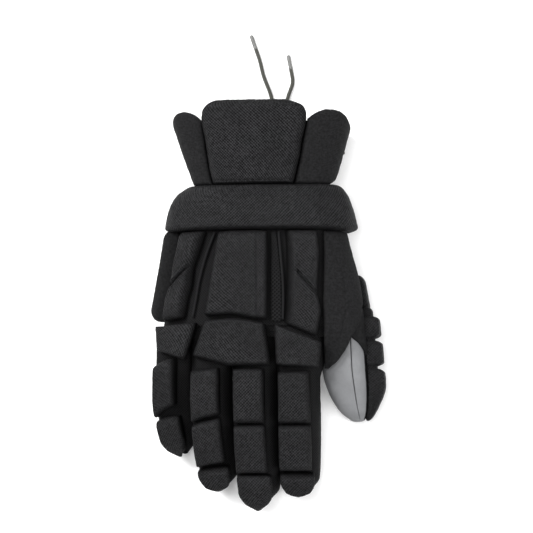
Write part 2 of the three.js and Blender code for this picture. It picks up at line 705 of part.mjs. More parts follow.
// The smooth panel on the thumb side, from the band over the root of the thumb.
// Its outer edge is an angle on the hand, and past the knuckles a place across the thumb
const PANEL_ROWS = table(
  ["y", "inner", "outer"],
  [62.4, 51, 3],
  [40, 51.5, 3],
  [24, 51.5, 4.5],
  [0, 51.5, 9],
  [-10, 51.8, 15],
  [-20, 52, 22],
);
const PANEL_TIP_ROWS = table(
  ["y", "inner", "outer"],
  [-20, 52, 79.5],
  [-30, 52, 74.5],
  [-40, 52, 70],
  [-50, 52, 63.5],
  [-57, 52, 55.5],
);
const PANEL_SEAT = 0.8;
const PANEL_DOWN = -46;
const THUMB_CREST = 60;
const PANEL_START = PANEL_ROWS[0].y;
const PANEL_END = PANEL_TIP_ROWS.at(-1).y;
const panelOnHand = (s, y) => {
  const inner = hand.angleAt(column(PANEL_ROWS, "y", "inner", y), y);
  return hand.point(lerp(radians(column(PANEL_ROWS, "y", "outer", y)), inner, s), y);
};
// Past the knuckles the panel leaves the hand and comes down onto the thumb
function panelPoint(s, t) {
  const y = lerp(PANEL_START, PANEL_END, t);
  if (y >= KNUCKLES) return panelOnHand(s, y);
  const edge = PANEL_TIP_ROWS[0];
  const share = (panelOnHand(s, KNUCKLES).x - edge.inner) / (edge.outer - edge.inner);
  const x = lerp(column(PANEL_TIP_ROWS, "y", "inner", y), column(PANEL_TIP_ROWS, "y", "outer", y), share);
  const heightOf = (tube, at) => tube.point(tube.angleAt(at, y), y).z;
  const down = smooth(y, KNUCKLES, PANEL_DOWN);
  return new THREE.Vector3(x, y, lerp(heightOf(hand, x), heightOf(thumb, Math.max(x, THUMB_CREST)), down));
}
const panelInside = (s, t) => hand.axis(lerp(PANEL_START, PANEL_END, t));
const PANEL_STATIONS = [62.4, 40, 24, 0, -10, -20, -25, -32, -40, -48, -53, -57];
add(
  "thumb_side_panel",
  slab(
    shifted(panelPoint, panelInside, SIDE_PANEL + PANEL_SEAT),
    shifted(panelPoint, panelInside, PANEL_SEAT),
    steps(0, 1, 4),
    PANEL_STATIONS.map((y) => (PANEL_START - y) / (PANEL_START - PANEL_END)),
  ),
  MATERIALS.panel,
);

// Wrist band over the back: thick towards the hand, thin where the cuff begins
// Its sides swell by this much more than its middle
const BAND = { from: WRIST, to: BAND_EDGE + 0.6, right: BACK_FROM, left: BACK_TO, swell: 3 };
const BAND_ROWS = table(
  ["y", "thick"],
  [105, 4.5],
  [101, 7],
  [95, 8.5],
  [85, 9.5],
  [72, 11],
  [66, 11],
  [63, 7.5],
);
const bandY = (t) => lerp(BAND.from, BAND.to, t);
const bandSurface = (s, t) => hand.point(radians(lerp(BAND.right, BAND.left, s)), bandY(t));
const bandInside = (s, t) => hand.axis(bandY(t));
const bandThick = (s, t) => {
  const sides = (2 * s - 1) ** 2;
  return GAP + column(BAND_ROWS, "y", "thick", bandY(t)) + BAND.swell * sides * smooth(t, 0.1, 0.8);
};
const bandStations = [WRIST, 100, 95, 85, 72, 66, BAND.to];
const bandShares = bandStations.map((y) => (BAND.from - y) / (BAND.from - BAND.to));
add(
  "wrist_band",
  slab(
    above(0, shiftedAcross(bandSurface, bandInside, bandThick)),
    shiftedAcross(bandSurface, bandInside, GAP),
    steps(0, 1, HAND_FACETS),
    bandShares,
  ),
  MATERIALS.pad,
);

// Binding on the wrist edge of the palm
const HEM = { from: WRIST + 0.5, to: WRIST + 7, thick: 3.2 };
const hemSurface = (s, t) => {
  const y = lerp(HEM.from, HEM.to, t);
  return hand.point(radians(lerp(BACK_TO + 2, 360 + BACK_FROM - 2, s)), Math.min(y, 105));
};
const hemPlaced = (lift) => (s, t) => {
  const p = hemSurface(s, t);
  p.y = lerp(HEM.from, HEM.to, t);
  p.z = Math.max(p.z, 0) + lift;
  return p;
};
add("wrist_hem", slab(hemPlaced(0), hemPlaced(HEM.thick), steps(0, 1, 12), [0, 1]), MATERIALS.binding);

// Cuff: a centre pad on the back and two flares that curl round to the palm side
const CUFF_START = WRIST + GAP;
const CUFF_PAD_ROWS = table(
  ["y", "left", "right"],
  [CUFF_START, -43, 25],
  [120, -46.5, 29],
  [145, -50.5, 34],
  [160, -53, 37],
  [168, -52.5, 36.5],
  [173, -49, 32],
  [177, -41, 20],
);
const cuffPlace = (s, t) => {
  const y = lerp(CUFF_START, 177, t);
  const x = lerp(column(CUFF_PAD_ROWS, "y", "right", y), column(CUFF_PAD_ROWS, "y", "left", y), s);
  return [x, y];
};
const cuffSurface = (s, t) => {
  const [x, y] = cuffPlace(s, t);
  return cuff.point(cuff.angleAt(x, y), y);
};
const cuffInside = (s, t) => cuff.axis(cuffPlace(s, t)[1]);
const cuffRamp = (s, t) => {
  const ramp = Math.min(rampOf(s, 0.09, 0.09), rampOf(t, 0.04, 0.07));
  return GAP + CUFF_PAD * (1 - CHAMFER * (1 - ramp));
};
add(
  "cuff_pad",
  slab(
    shiftedAcross(cuffSurface, cuffInside, cuffRamp),
    shiftedAcross(cuffSurface, cuffInside, GAP),
    padGrid(5, 0.09, 0.09),
    [0, 0.04, 0.3, 0.55, 0.76, 0.88, 0.93, 0.97, 1],
  ),
  MATERIALS.pad,
);

// A flare runs from beside the centre pad, out and under, to its free edge on the palm side
const FLARE_SEAM = 2.2;
const FLARE_CHAMFER = 0.35;
const FLARES = [
  { name: "pinky", sign: -1, freeX: -49, edge: "left", eyeletY: 139.9 },
  { name: "thumb", sign: 1, freeX: 46, edge: "right", eyeletY: 136.7 },
];
const FLARE_LENGTH_ROWS = table(
  ["s", "y"],
  [0, 166.5],
  [0.12, 169],
  [0.35, 160],
  [0.6, 157],
  [0.85, 160],
  [0.95, 157],
  [1, 149],
);
const EYELET_FROM_EDGE = 0.22;
// The palm side of a flare begins past the hem
const flareStart = (s) => lerp(CUFF_START, 113, smooth(s, 0.5, 0.8));
const eyelets = {};
for (const flare of FLARES) {
  const edgeAt = (y) => column(CUFF_PAD_ROWS, "y", flare.edge, Math.min(y, 160)) + flare.sign * FLARE_SEAM;
  const place = (s, t) => {
    const y = lerp(flareStart(s), column(FLARE_LENGTH_ROWS, "s", "y", s), t);
    const start = cuff.angleAt(edgeAt(y), y);
    const free = -cuff.angleAt(flare.freeX, y);
    const angle = flare.sign > 0 ? lerp(start, free, s) : lerp(start, 2 * Math.PI + free, s);
    return [angle, y];
  };
  const surface = (s, t) => cuff.point(...place(s, t));
  const inside = (s, t) => cuff.axis(place(s, t)[1]);
  const thick = (s, t) => {
    const ramp = Math.min(rampOf(s, 0.06, 0.06), rampOf(t, 0.03, 0.06));
    return FLARE * (1 - FLARE_CHAMFER * (1 - ramp));
  };
  const across = [0, 0.06, ...steps(0.18, 0.82, 5), 0.94, 1];
  const along = [0, 0.03, 0.25, 0.5, 0.75, 0.94, 1];
  let solid = solidOf(slab(shiftedAcross(surface, inside, thick), surface, across, along));
  // The eyelet goes through the flare square to its surface
  const s = 1 - EYELET_FROM_EDGE;
  const t = (flare.eyeletY - flareStart(s)) / (column(FLARE_LENGTH_ROWS, "s", "y", s) - flareStart(s));
  const normal = outward(surface, inside, s, t);
  const middle = surface(s, t).addScaledVector(normal, FLARE / 2);
  const turn = new THREE.Quaternion().setFromUnitVectors(new THREE.Vector3(0, 1, 0), normal);
  const barrel = EYELET.inner + EYELET.wall;
  const seat = new THREE.CylinderGeometry(barrel + GAP, barrel + GAP, 3 * FLARE, EYELET.faces);
  seat.applyQuaternion(turn).translate(middle.x, middle.y, middle.z);
  solid = solid.subtract(solidOf(seat));
  add(`cuff_flare_${flare.name}`, geometryOf(solid), MATERIALS.panel);
  const under = -FLARE / 2 - EYELET.under;
  const over = FLARE / 2 + EYELET.over;
  const profile = [
    [EYELET.inner, under - EYELET.rim],
    [EYELET.outer, under - EYELET.rim / 2],
    [EYELET.outer, under],
    [barrel, under],
    [barrel, over],
    [EYELET.outer, over],
    [EYELET.outer, over + EYELET.rim / 2],
    [EYELET.inner, over + EYELET.rim],
  ].map(([r, h]) => new THREE.Vector2(r, h));
  const ring = new THREE.LatheGeometry([...profile, profile[0]], EYELET.faces);
  ring.applyQuaternion(turn).translate(middle.x, middle.y, middle.z);
  add(`eyelet_${flare.name}`, ring, MATERIALS.eyelet);
  eyelets[flare.name] = { middle, normal };
}

// Drawcord, lying on the surface under the cuff and out past its end
const FLOOR = CORD_RADIUS + 0.05;
const mouth = (name, side) => {
  const { middle, normal } = eyelets[name];
  const clear = FLARE / 2 + (side > 0 ? EYELET.over : EYELET.under) + EYELET.rim + GAP;
  return [0, 3.5].map((more) => middle.clone().addScaledVector(normal, side * (clear + more)));
};
// A cord that would sink lies on the surface instead
function routeOf(points) {
  const curve = new THREE.CatmullRomCurve3(points);
  const laid = curve.getSpacedPoints(Math.round(curve.getLength() / CORD_STEP) * 2);
  laid.forEach((p) => p.setZ(Math.max(p.z, FLOOR)));
  return new THREE.CatmullRomCurve3(laid);
}
const holes = [-1, 1].map((side) => LOCK.x + (side * LOCK.pitch) / 2);
const lockZ = LOCK.height / 2;
const v = (x, y, z) => new THREE.Vector3(x, y, z);
const CORDS = {
  cord_inner: [
    ...mouth("pinky", -1),
    v(-49, 140.5, 16.8),
    v(-38, 140, 12.4),
    v(-2, 138.5, 8.5),
    v(36, 136.5, 12),
    v(46, 136, 16.6),
    ...mouth("thumb", -1).reverse(),
  ],
  cord_lead_pinky: [
    ...mouth("pinky", 1),
    v(-62, 145, FLOOR),
    v(-48, 148.5, FLOOR),
    v(-30, 151, FLOOR),
    v(-12, 150.5, FLOOR),
    v(1, 151.5, 3.2),
    v(holes[0], 154.5, lockZ - 0.3),
    v(holes[0], 156.5, lockZ),
    v(holes[0], 160, lockZ),
    v(holes[0], 168.5, lockZ),
    v(holes[0] - 0.5, 176, FLOOR),
    v(0, 190, FLOOR),
    v(-6, 206, FLOOR),
    v(-9.5, 220, FLOOR),
    v(-13, 230.5, FLOOR),
  ],
  cord_lead_thumb: [
    ...mouth("thumb", 1),
    v(57, 141, FLOOR),
    v(44, 145.5, FLOOR),
    v(30, 149, FLOOR),
    v(15.5, 151.2, 3.2),
    v(holes[1], 154.5, lockZ - 0.3),
    v(holes[1], 156.5, lockZ),
    v(holes[1], 160, lockZ),
    v(holes[1], 168.5, lockZ),
    v(holes[1] + 0.5, 177, FLOOR),
    v(16.5, 189, FLOOR),
    v(20, 200, FLOOR),
    v(18.5, 211.5, FLOOR),
  ],
};
const ends = {};
for (const [name, points] of Object.entries(CORDS)) {
  const curve = routeOf(points);
  const count = Math.round(curve.getLength() / CORD_STEP);
  add(name, tubeAlong(curve, CORD_RADIUS, CORD_FACES, count), MATERIALS.cord);
  ends[name] = { at: curve.getPoint(1), way: curve.getTangent(1) };
}

for (const side of ["pinky", "thumb"]) {
  const { at, way } = ends[`cord_lead_${side}`];
  const aglet = new THREE.CylinderGeometry(AGLET.radius, AGLET.radius, AGLET.length, AGLET.faces);
  aglet.applyQuaternion(new THREE.Quaternion().setFromUnitVectors(new THREE.Vector3(0, 1, 0), way));
  const centre = at.clone().addScaledVector(way, AGLET.length / 2 + GAP);
  aglet.translate(centre.x, centre.y, centre.z);
  add(`aglet_${side}`, aglet, MATERIALS.aglet);
}

// Cord lock: a flat plastic barrel with two holes side by side
const lockShape = new THREE.Shape();
const corner = LOCK.height / 2 - 0.5;
const [halfWide, halfHigh] = [LOCK.width / 2, LOCK.height / 2];
lockShape.moveTo(-halfWide + corner, -halfHigh);
lockShape.lineTo(halfWide - corner, -halfHigh);
lockShape.quadraticCurveTo(halfWide, -halfHigh, halfWide, 0);
lockShape.quadraticCurveTo(halfWide, halfHigh, halfWide - corner, halfHigh);
lockShape.lineTo(-halfWide + corner, halfHigh);
lockShape.quadraticCurveTo(-halfWide, halfHigh, -halfWide, 0);
lockShape.quadraticCurveTo(-halfWide, -halfHigh, -halfWide + corner, -halfHigh);
for (const side of [-1, 1]) {
  const hole = new THREE.Path();
  hole.absarc((side * LOCK.pitch) / 2, 0, LOCK.bore, 0, 2 * Math.PI, true);
  lockShape.holes.push(hole);
}
const lockSettings = { depth: LOCK.length, bevelEnabled: false, curveSegments: 4 };
const lock = new THREE.ExtrudeGeometry(lockShape, lockSettings);
lock.translate(0, 0, -LOCK.length / 2).rotateX(Math.PI / 2).translate(LOCK.x, LOCK.y + 1, lockZ);
add("cord_lock", lock, MATERIALS.lock);

export default glove;
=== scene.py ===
"""Ball hockey glove for the right hand, lying palm down: pads, mesh cloth, leather and drawcord.

Sizes are in millimetres in this file and become metres when a mesh is made. Fingers point along -Y,
the cuff along +Y, the thumb along +X and the back of the hand along +Z.
"""

import math

import bmesh
import bpy
import numpy as np
from mathutils import Matrix, Vector


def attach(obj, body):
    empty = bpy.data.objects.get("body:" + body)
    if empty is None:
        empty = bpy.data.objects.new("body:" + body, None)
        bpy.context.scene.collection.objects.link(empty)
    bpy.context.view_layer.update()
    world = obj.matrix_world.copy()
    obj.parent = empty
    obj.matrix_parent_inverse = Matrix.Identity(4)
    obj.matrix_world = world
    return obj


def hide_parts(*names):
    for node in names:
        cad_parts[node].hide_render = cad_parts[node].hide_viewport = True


bl_info = {
    "name": "Ball hockey glove",
    "version": (1, 0, 0),
    "blender": (4, 5, 0),
    "location": "3D View > Sidebar > Glove",
    "description": "Makes the pads, cloth, leather and drawcord of a ball hockey glove",
    "category": "Object",
}

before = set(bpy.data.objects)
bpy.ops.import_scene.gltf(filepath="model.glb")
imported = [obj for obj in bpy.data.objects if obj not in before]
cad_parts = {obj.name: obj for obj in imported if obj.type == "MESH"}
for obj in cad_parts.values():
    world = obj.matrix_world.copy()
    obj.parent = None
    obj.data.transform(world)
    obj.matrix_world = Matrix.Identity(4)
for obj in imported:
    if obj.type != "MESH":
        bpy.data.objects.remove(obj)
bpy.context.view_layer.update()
MM = 0.001

# Sizes that the solids also have
CLOTH = 1.8
LEATHER = 1.5
GAP = 0.3
SEAT = 0.5
TIP_SEAT = 0.9
FINGER_PAD = 10
TIP_PAD = 8.5
BACK_PAD = 10
ROLL = 13
THUMB_PAD = 12
SIDE_PANEL = 4
CUFF_PAD = 11
FLARE = 6.5
WRIST = 104
KNUCKLES = -20
FINGER_ROOT = KNUCKLES - GAP
BAND_EDGE = 63
MOUND_FROM = 32
MOUND_TO = 58
CUFF_END = 177
CUFF_SEAM = 106.8
CORD_RADIUS = 1.75
CORD_STEP = 9
BRAID_PITCH = 2.6
BRAID_STRANDS = 3
LOCK = {"x": 8, "y": 162, "width": 22, "height": 9, "length": 10, "bore": 2.7, "pitch": 9}
AGLET = {"radius": 1.7, "length": 13}
EYELET = {"inner": 2.1, "wall": 1, "outer": 5.2, "rim": 1.2, "over": 0.5, "under": 1.6}
# The leather's underside stays this far above the surface: patches and stitches fit below it
LEATHER_FLOOR = 0.6
# The leather is shown thinner than its solid, and the cloth thinner than its walls by CLOTH_LESS
LEATHER_SHOWN = 1.2
CLOTH_LESS = 0.4


def table(names, *rows):
    """Columns by name, from rows of numbers."""
    return dict(zip(names.split(), np.array(rows, float).T))


HAND_ROWS = table(
    "y left right top side bottom mound",
    (105, -63, 58, 46, 25, 0, 0),
    (96, -72, 62, 46.5, 25, -2, -2),
    (85, -76, 64, 47, 24, -3, -3),
    (62, -78, 67, 47, 23, -3, -3),
    (40, -81, 72, 47, 22, -2, -3),
    (20, -84.5, 78, 47.5, 22, 1.5, -2),
    (0, -88, 82, 48, 24, 10, 0),
    (-20, -92, 85.5, 48.5, 27, 17, 4),
    (-40, -99, 88, 48.5, 27.5, 18, 4),
    (-60, -100, 88, 48, 28, 17, 4),
)
THUMB_ROWS = table(
    "y left right top side bottom",
    (-12, 48, 85, 42, 21, 3),
    (-30, 49, 86.5, 39.5, 20, 2),
    (-50, 48.8, 88, 36.5, 18.5, 0.5),
    (-60, 50, 88.5, 34.5, 17.5, -0.5),
    (-70, 54, 89, 32, 16, -1),
    (-80, 59, 88.8, 28.5, 14.5, -1),
    (-90, 65, 88, 24, 12.5, -1),
    (-97, 70.5, 86.5, 19, 10.5, 0),
    (-102, 75, 84, 13.5, 8.5, 3),
)
CUFF_ROWS = table(
    "y left right top side bottom",
    (105, -58.5, 53.5, 46, 26, 8.5),
    (125, -65, 59, 48.5, 27, 8.5),
    (145, -72, 65, 51, 28, 8.5),
    (160, -77.5, 69, 53, 28.5, 9),
    (CUFF_END, -80, 71, 55, 29, 10),
)
FINGER_ROWS = table(
    "share top side bottom width",
    (-0.1, 47.6, 31, 15.5, 1),
    (0.12, 48.2, 32, 19, 1),
    (0.29, 47.5, 31, 17.5, 1),
    (0.46, 45, 28, 14, 1),
    (0.59, 41, 24, 10, 1),
    (0.72, 35, 19.5, 5.5, 0.99),
    (0.84, 28, 14.5, 1.5, 0.96),
    (0.93, 22, 11, -0.5, 0.9),
    (1, 17, 9, 0, 0.8),
)
FINGER_START = -15
FINGER_MIDDLE = -80
TIP_ROUND = 15
TIP_CLOSING = 0.93
TIP_DRAWN_IN = 0.8
# How square a section is above and below its side line: 1 is an ellipse, less is a squarer box
HAND_BOX, DIGIT_BOX, CUFF_BOX = (0.8, 0.55), (0.75, 0.65), (0.85, 0.8)
FINGER_NAMES = ("pinky", "ring", "middle", "index")
FINGER_LINES = table(
    "root middle tip half end crown",
    (-79.5, -81.5, -75, 14.3, -129.5, 0.83),
    (-48, -49, -43, 16.3, -161.5, 0.965),
    (-9.5, -9.5, -8, 17.3, -176, 0.995),
    (29.5, 29.8, 28, 17.2, -166.5, 0.985),
)


# Curves and surfaces


def lerp(a, b, t):
    """a at t = 0 and b at t = 1, in a straight line."""
    return a + (b - a) * t


def smooth(x, low, high):
    """0 up to low, 1 from high, and an S curve between."""
    t = np.clip((x - low) / (high - low), 0, 1)
    return t * t * (3 - 2 * t)


def power(x, p):
    """|x|^p with the sign of x."""
    return np.sign(x) * np.abs(x) ** p


def stack(*parts):
    """Points from their coordinates, brought to one shape."""
    return np.stack(np.broadcast_arrays(*parts), -1).astype(float)


def dot(a, b):
    """The sum of products over the last axis."""
    return np.sum(a * b, -1)


def unit(a):
    """The vectors at length 1."""
    return a / np.maximum(np.linalg.norm(a, axis=-1, keepdims=True), 1e-12)


def column(rows, key, name, at):
    """A cubic through a table's rows. The slope at a row is that from the row before to the one
    after, and past both ends the curve goes on straight."""
    keys, values = rows[key], rows[name]
    last = len(keys) - 1
    numbers = np.arange(last + 1)
    before, after = np.maximum(numbers - 1, 0), np.minimum(numbers + 1, last)
    slopes = (values[after] - values[before]) / (keys[after] - keys[before])
    rising = 1 if keys[1] > keys[0] else -1
    at = np.asarray(at, float)
    i = np.clip(np.searchsorted(rising * keys, rising * at) - 1, 0, last - 1)
    span = keys[i + 1] - keys[i]
    t = (at - keys[i]) / span
    t2, t3 = t * t, t * t * t
    inside = (2 * t3 - 3 * t2 + 1) * values[i] + (t3 - 2 * t2 + t) * span * slopes[i]
    inside = inside + (3 * t2 - 2 * t3) * values[i + 1] + (t3 - t2) * span * slopes[i + 1]
    low = values[i] + slopes[i] * (at - keys[i])
    high = values[i + 1] + slopes[i + 1] * (at - keys[i + 1])
    return np.where(t < 0, low, np.where(t > 1, high, inside))


class Tube:
    """A tube along y. Its section is a rounded box: x = middle + half * cos(angle)^square, and z
    rises from side by sin(angle)^square above and falls by sin(angle)^flat below. Angle 0 is the
    thumb's side."""

    def __init__(self, section, square, flat):
        self.section = section
        self.square = square
        self.flat = flat

    def point(self, angle, y):
        """The place on the skin."""
        s = self.section(y)
        half, middle = (s["right"] - s["left"]) / 2, (s["right"] + s["left"]) / 2
        x = middle + half * power(np.cos(angle), self.square)
        sine = np.sin(angle)
        mound = s.get("mound", s["bottom"])
        bottom = lerp(s["bottom"], mound, smooth(x, MOUND_FROM, MOUND_TO))
        up = (s["top"] - s["side"]) * np.abs(sine) ** self.square
        down = (s["side"] - bottom) * power(sine, self.flat)
        return stack(x, y, s["side"] + np.where(sine >= 0, up, down))

    def axis(self, y):
        """The middle of the section, at the height of its side line."""
        s = self.section(y)
        return stack((s["right"] + s["left"]) / 2, y, s["side"])

    def angle_at(self, x, y):
        """The angle on the back of the tube above a place across it."""
        s = self.section(y)
        share = (x - (s["right"] + s["left"]) / 2) / ((s["right"] - s["left"]) / 2)
        return np.arccos(power(np.clip(share, -0.999, 0.999), 1 / self.square))


def section_from(rows):
    """The section at y, with each column of a table read there."""
    return lambda y: {name: column(rows, "y", name, y) for name in rows if name != "y"}


def finger_tube(index, fuller=(0, 0, 0)):
    """A finger: the table's section along it, drawn in to a rounded tip, on a line that bends
    twice. fuller widens it to the left and right up to the tip, and more to the right at its
    root."""
    f = {name: values[index] for name, values in FINGER_LINES.items()}

    def section(y):
        share = (FINGER_START - y) / (FINGER_START - f["end"])
        into = np.clip((f["end"] + TIP_ROUND - y) / TIP_ROUND, 0, 1)
        closing = np.sqrt(1 - TIP_CLOSING * into * into)
        pointed = 1 - TIP_DRAWN_IN * into**1.7
        bend = np.clip((FINGER_START - y) / (FINGER_START - FINGER_MIDDLE), 0, 1)
        ahead = np.clip((FINGER_MIDDLE - y) / (FINGER_MIDDLE - f["end"]), 0, 1)
        centre = lerp(lerp(f["root"], f["middle"], bend), f["tip"], ahead * ahead)
        half = f["half"] * column(FINGER_ROWS, "share", "width", share) * pointed
        side = column(FINGER_ROWS, "share", "side", share)
        top = column(FINGER_ROWS, "share", "top", share) * f["crown"]
        more = smooth(y, f["end"] + 4, f["end"] + 19)
        root = smooth(y, -66, -50)
        bottom = column(FINGER_ROWS, "share", "bottom", share)
        return {
            "left": centre - half - fuller[0] * more,
            "right": centre + half + fuller[1] * more + fuller[2] * root,
            "side": side,
            "top": side + (top - side) * closing,
            "bottom": side - (side - bottom) * closing,
        }

    return Tube(section, *DIGIT_BOX)


hand = Tube(section_from(HAND_ROWS), *HAND_BOX)
thumb = Tube(section_from(THUMB_ROWS), *DIGIT_BOX)
# The thumb's leather is fuller on its inner side than the tube that the padding lies on
MITT_ROWS = table(
    "y left",
    *((-20, 48.5), (-50, 48.2), (-60, 48.4), (-70, 50.6)),
    *((-80, 54.4), (-90, 60), (-97, 66), (-102, 73)),
)
mitt = Tube(lambda y: thumb.section(y) | {"left": column(MITT_ROWS, "y", "left", y)}, *DIGIT_BOX)
cuff = Tube(section_from(CUFF_ROWS), *CUFF_BOX)
fingers = [finger_tube(i) for i in range(4)]
# The cloth between two fingers is full enough to meet its neighbour
FULLER = ((2.6, 0.9, 0), (0.9, 2.6, 0), (2.6, 2.4, 0), (3.0, 0.4, 4.2))
sleeves = [finger_tube(i, fuller) for i, fuller in enumerate(FULLER)]
FINGER_ENDS = FINGER_LINES["end"]


def outward(surface, inside, s, t):
    """The unit normal of a surface of (s, t), from small steps both ways, away from the points
    inside it."""
    d = 1e-3
    along = surface(np.minimum(s + d, 1), t) - surface(np.maximum(s - d, 0), t)
    down = surface(s, np.minimum(t + d, 1)) - surface(s, np.maximum(t - d, 0))
    normal = unit(np.cross(along, down))
    away = dot(normal, surface(s, t) - inside(s, t))
    return normal * np.where(away < 0, -1, 1)[..., None]


def layers(surface, inside, low, high, level_way=False):
    """Level function of a skin: the surface moved out by low at share 0 and by high at share 1.
    high may be a function of (s, t). With level_way the move stays in the plane across the
    glove."""

    def level(s, t, share):
        way = outward(surface, inside, s, t)
        if level_way:
            way = unit(way * (1, 0, 1))
        far = high(s, t) if callable(high) else high
        rise = lerp(low, far, share) * np.ones(way.shape[:-1])
        return surface(s, t) + way * rise[..., None]

    return level


def raised(points, floor):
    """The points, with none lower than floor."""
    return np.concatenate([points[..., :2], np.maximum(points[..., 2:], floor)], -1)


def folds(points, seed, length, amount):
    """Soft uneven folds: five sine waves in seeded directions, each 0.62 as long as the one before,
    read at places that are themselves bent by a slow wave."""
    rng = np.random.default_rng(seed)
    bent = points + 0.22 * length * np.sin(points[..., [1, 2, 0]] / (0.55 * length) + seed)
    total = 0
    for octave in range(5):
        way = unit(rng.normal(size=3) * (1, 1, 0.6))
        wave = length * 0.62**octave
        phase = rng.uniform(0, 6.28)
        total = total + 0.75**octave * np.sin(2 * np.pi * (bent @ way) / wave + phase)
    return amount * total / 2.6


def closer(count):
    """Shares from 0 to 1 that lie closer together towards 1: a quarter sine wave to the power
    0.9."""
    return np.sin(np.linspace(0, np.pi / 2, count)) ** 0.9


# Meshes


def faces_of(rows, columns, start):
    """The quads of a grid of points numbered row by row."""
    n = start + np.arange(rows * columns).reshape(rows, columns)
    return np.stack([n[:-1, :-1], n[1:, :-1], n[1:, 1:], n[:-1, 1:]], -1).reshape(-1, 4)


def arc(points):
    """Running length along the first axis of a row of points."""
    step = np.linalg.norm(np.diff(points, axis=0), axis=-1)
    return np.concatenate([[0], np.cumsum(step)])


def grid_uv(points):
    """Both lengths over a grid, taken along its middle row and middle column."""
    rows, columns = points.shape[:2]
    u = arc(points[:, columns // 2])
    v = arc(points[rows // 2])
    return stack(*np.meshgrid(u, v, indexing="ij"))


def grid_normals(points):
    """Unit normals of a grid of points, from the differences along its rows and columns."""
    along = np.gradient(points, axis=0)
    down = np.gradient(points, axis=1)
    return unit(np.cross(along, down))


class Sheets:
    """Grids of points gathered into one mesh. Its UV map cloth holds the lengths along the cloth in
    metres, and its point attribute rise tells how high on a pad a point lies."""

    def __init__(self):
        self.points, self.faces, self.uv, self.rise = [], [], [], []
        self.count = 0

    def add(self, points, uv=None, rise=None, keep=None):
        """Adds a grid. keep tells which of its quads are made."""
        rows, columns = points.shape[:2]
        quads = faces_of(rows, columns, self.count)
        if keep is not None:
            quads = quads[keep.reshape(-1)]
        uv = grid_uv(points) if uv is None else uv
        rise = np.ones((rows, columns)) if rise is None else rise
        self.points.append(points.reshape(-1, 3))
        self.uv.append(uv.reshape(-1, 2))
        self.rise.append(np.broadcast_to(rise, (rows, columns)).reshape(-1))
        self.faces.append(quads)
        self.count += rows * columns
        return self

    def make(self, name, merge=0.02):
        """The object, with points that lie within merge millimetres of each other joined, which
        closes the seams between grids that end on the same points."""
        faces = np.concatenate(self.faces)
        used, corners = np.unique(faces, return_inverse=True)
        points = np.concatenate(self.points)[used] * MM
        mesh = bpy.data.meshes.new(name)
        mesh.from_pydata(points.tolist(), [], corners.reshape(faces.shape).tolist())
        layer = mesh.uv_layers.new(name="cloth")
        places = np.concatenate(self.uv)[faces.reshape(-1)] * MM
        layer.data.foreach_set("uv", places.reshape(-1).astype(np.float32))
        rise = mesh.attributes.new("rise", "FLOAT", "POINT")
        rise.data.foreach_set("value", np.concatenate(self.rise)[used].astype(np.float32))
        work = bmesh.new()
        work.from_mesh(mesh)
        bmesh.ops.remove_doubles(work, verts=work.verts, dist=merge * MM)
        bmesh.ops.recalc_face_normals(work, faces=work.faces)
        work.to_mesh(mesh)
        work.free()
        mesh.shade_smooth()
        mesh.validate()
        made = bpy.data.objects.new(name, mesh)
        bpy.context.scene.collection.objects.link(made)
        return made


def shell(name, outer, inner):
    """A closed mesh of two grids that are joined along their rims."""
    sheets = Sheets().add(outer).add(inner)
    for rim in (0, -1):
        sheets.add(np.stack([outer[rim], inner[rim]]))
        sheets.add(np.stack([outer[:, rim], inner[:, rim]]))
    return sheets.make(name)


# From this share on, a pad's edge is a slope. EDGE_POWER joins the heights of its lines
SLOPE = 0.25
EDGE_POWER = 2.6
# Puckers along a pad's seam
PUCKER_DEPTH = 0.1
PUCKER_LENGTH = 6.3


def edge_lines(low, high, count, wall, lean):
    """Grid lines across a pad: places from 0 to 1, and heights from 0 to 1. At each edge the side
    rises to wall, bulging out by lean, and a quarter round shoulder takes it to 1 over the share
    low or high. A share of SLOPE or more is a slope from low on the side, rounded at its top."""
    rise = np.linspace(0, 1, 6)[:-1]
    turn = np.linspace(0, 1, 8)

    def edge(share):
        if share < SLOPE:
            foot, round_at = wall, share * (1 - np.cos(turn * np.pi / 2)) ** 0.9
            round_height = np.sin(turn * np.pi / 2)
        else:
            foot, round_at, round_height = 0.2, share * turn, 1 - (1 - turn) ** 1.35
        at = np.concatenate([lean * (1 - rise) ** 2, round_at])
        height = np.concatenate([foot * rise, foot + (1 - foot) * round_height])
        return at, height

    (left, up), (right, down) = edge(low), edge(high)
    middle = np.linspace(low, 1 - high, count)[1:-1]
    at = np.concatenate([left, middle, 1 - right[::-1]])
    return at, np.concatenate([up, np.ones(len(middle)), down[::-1]])


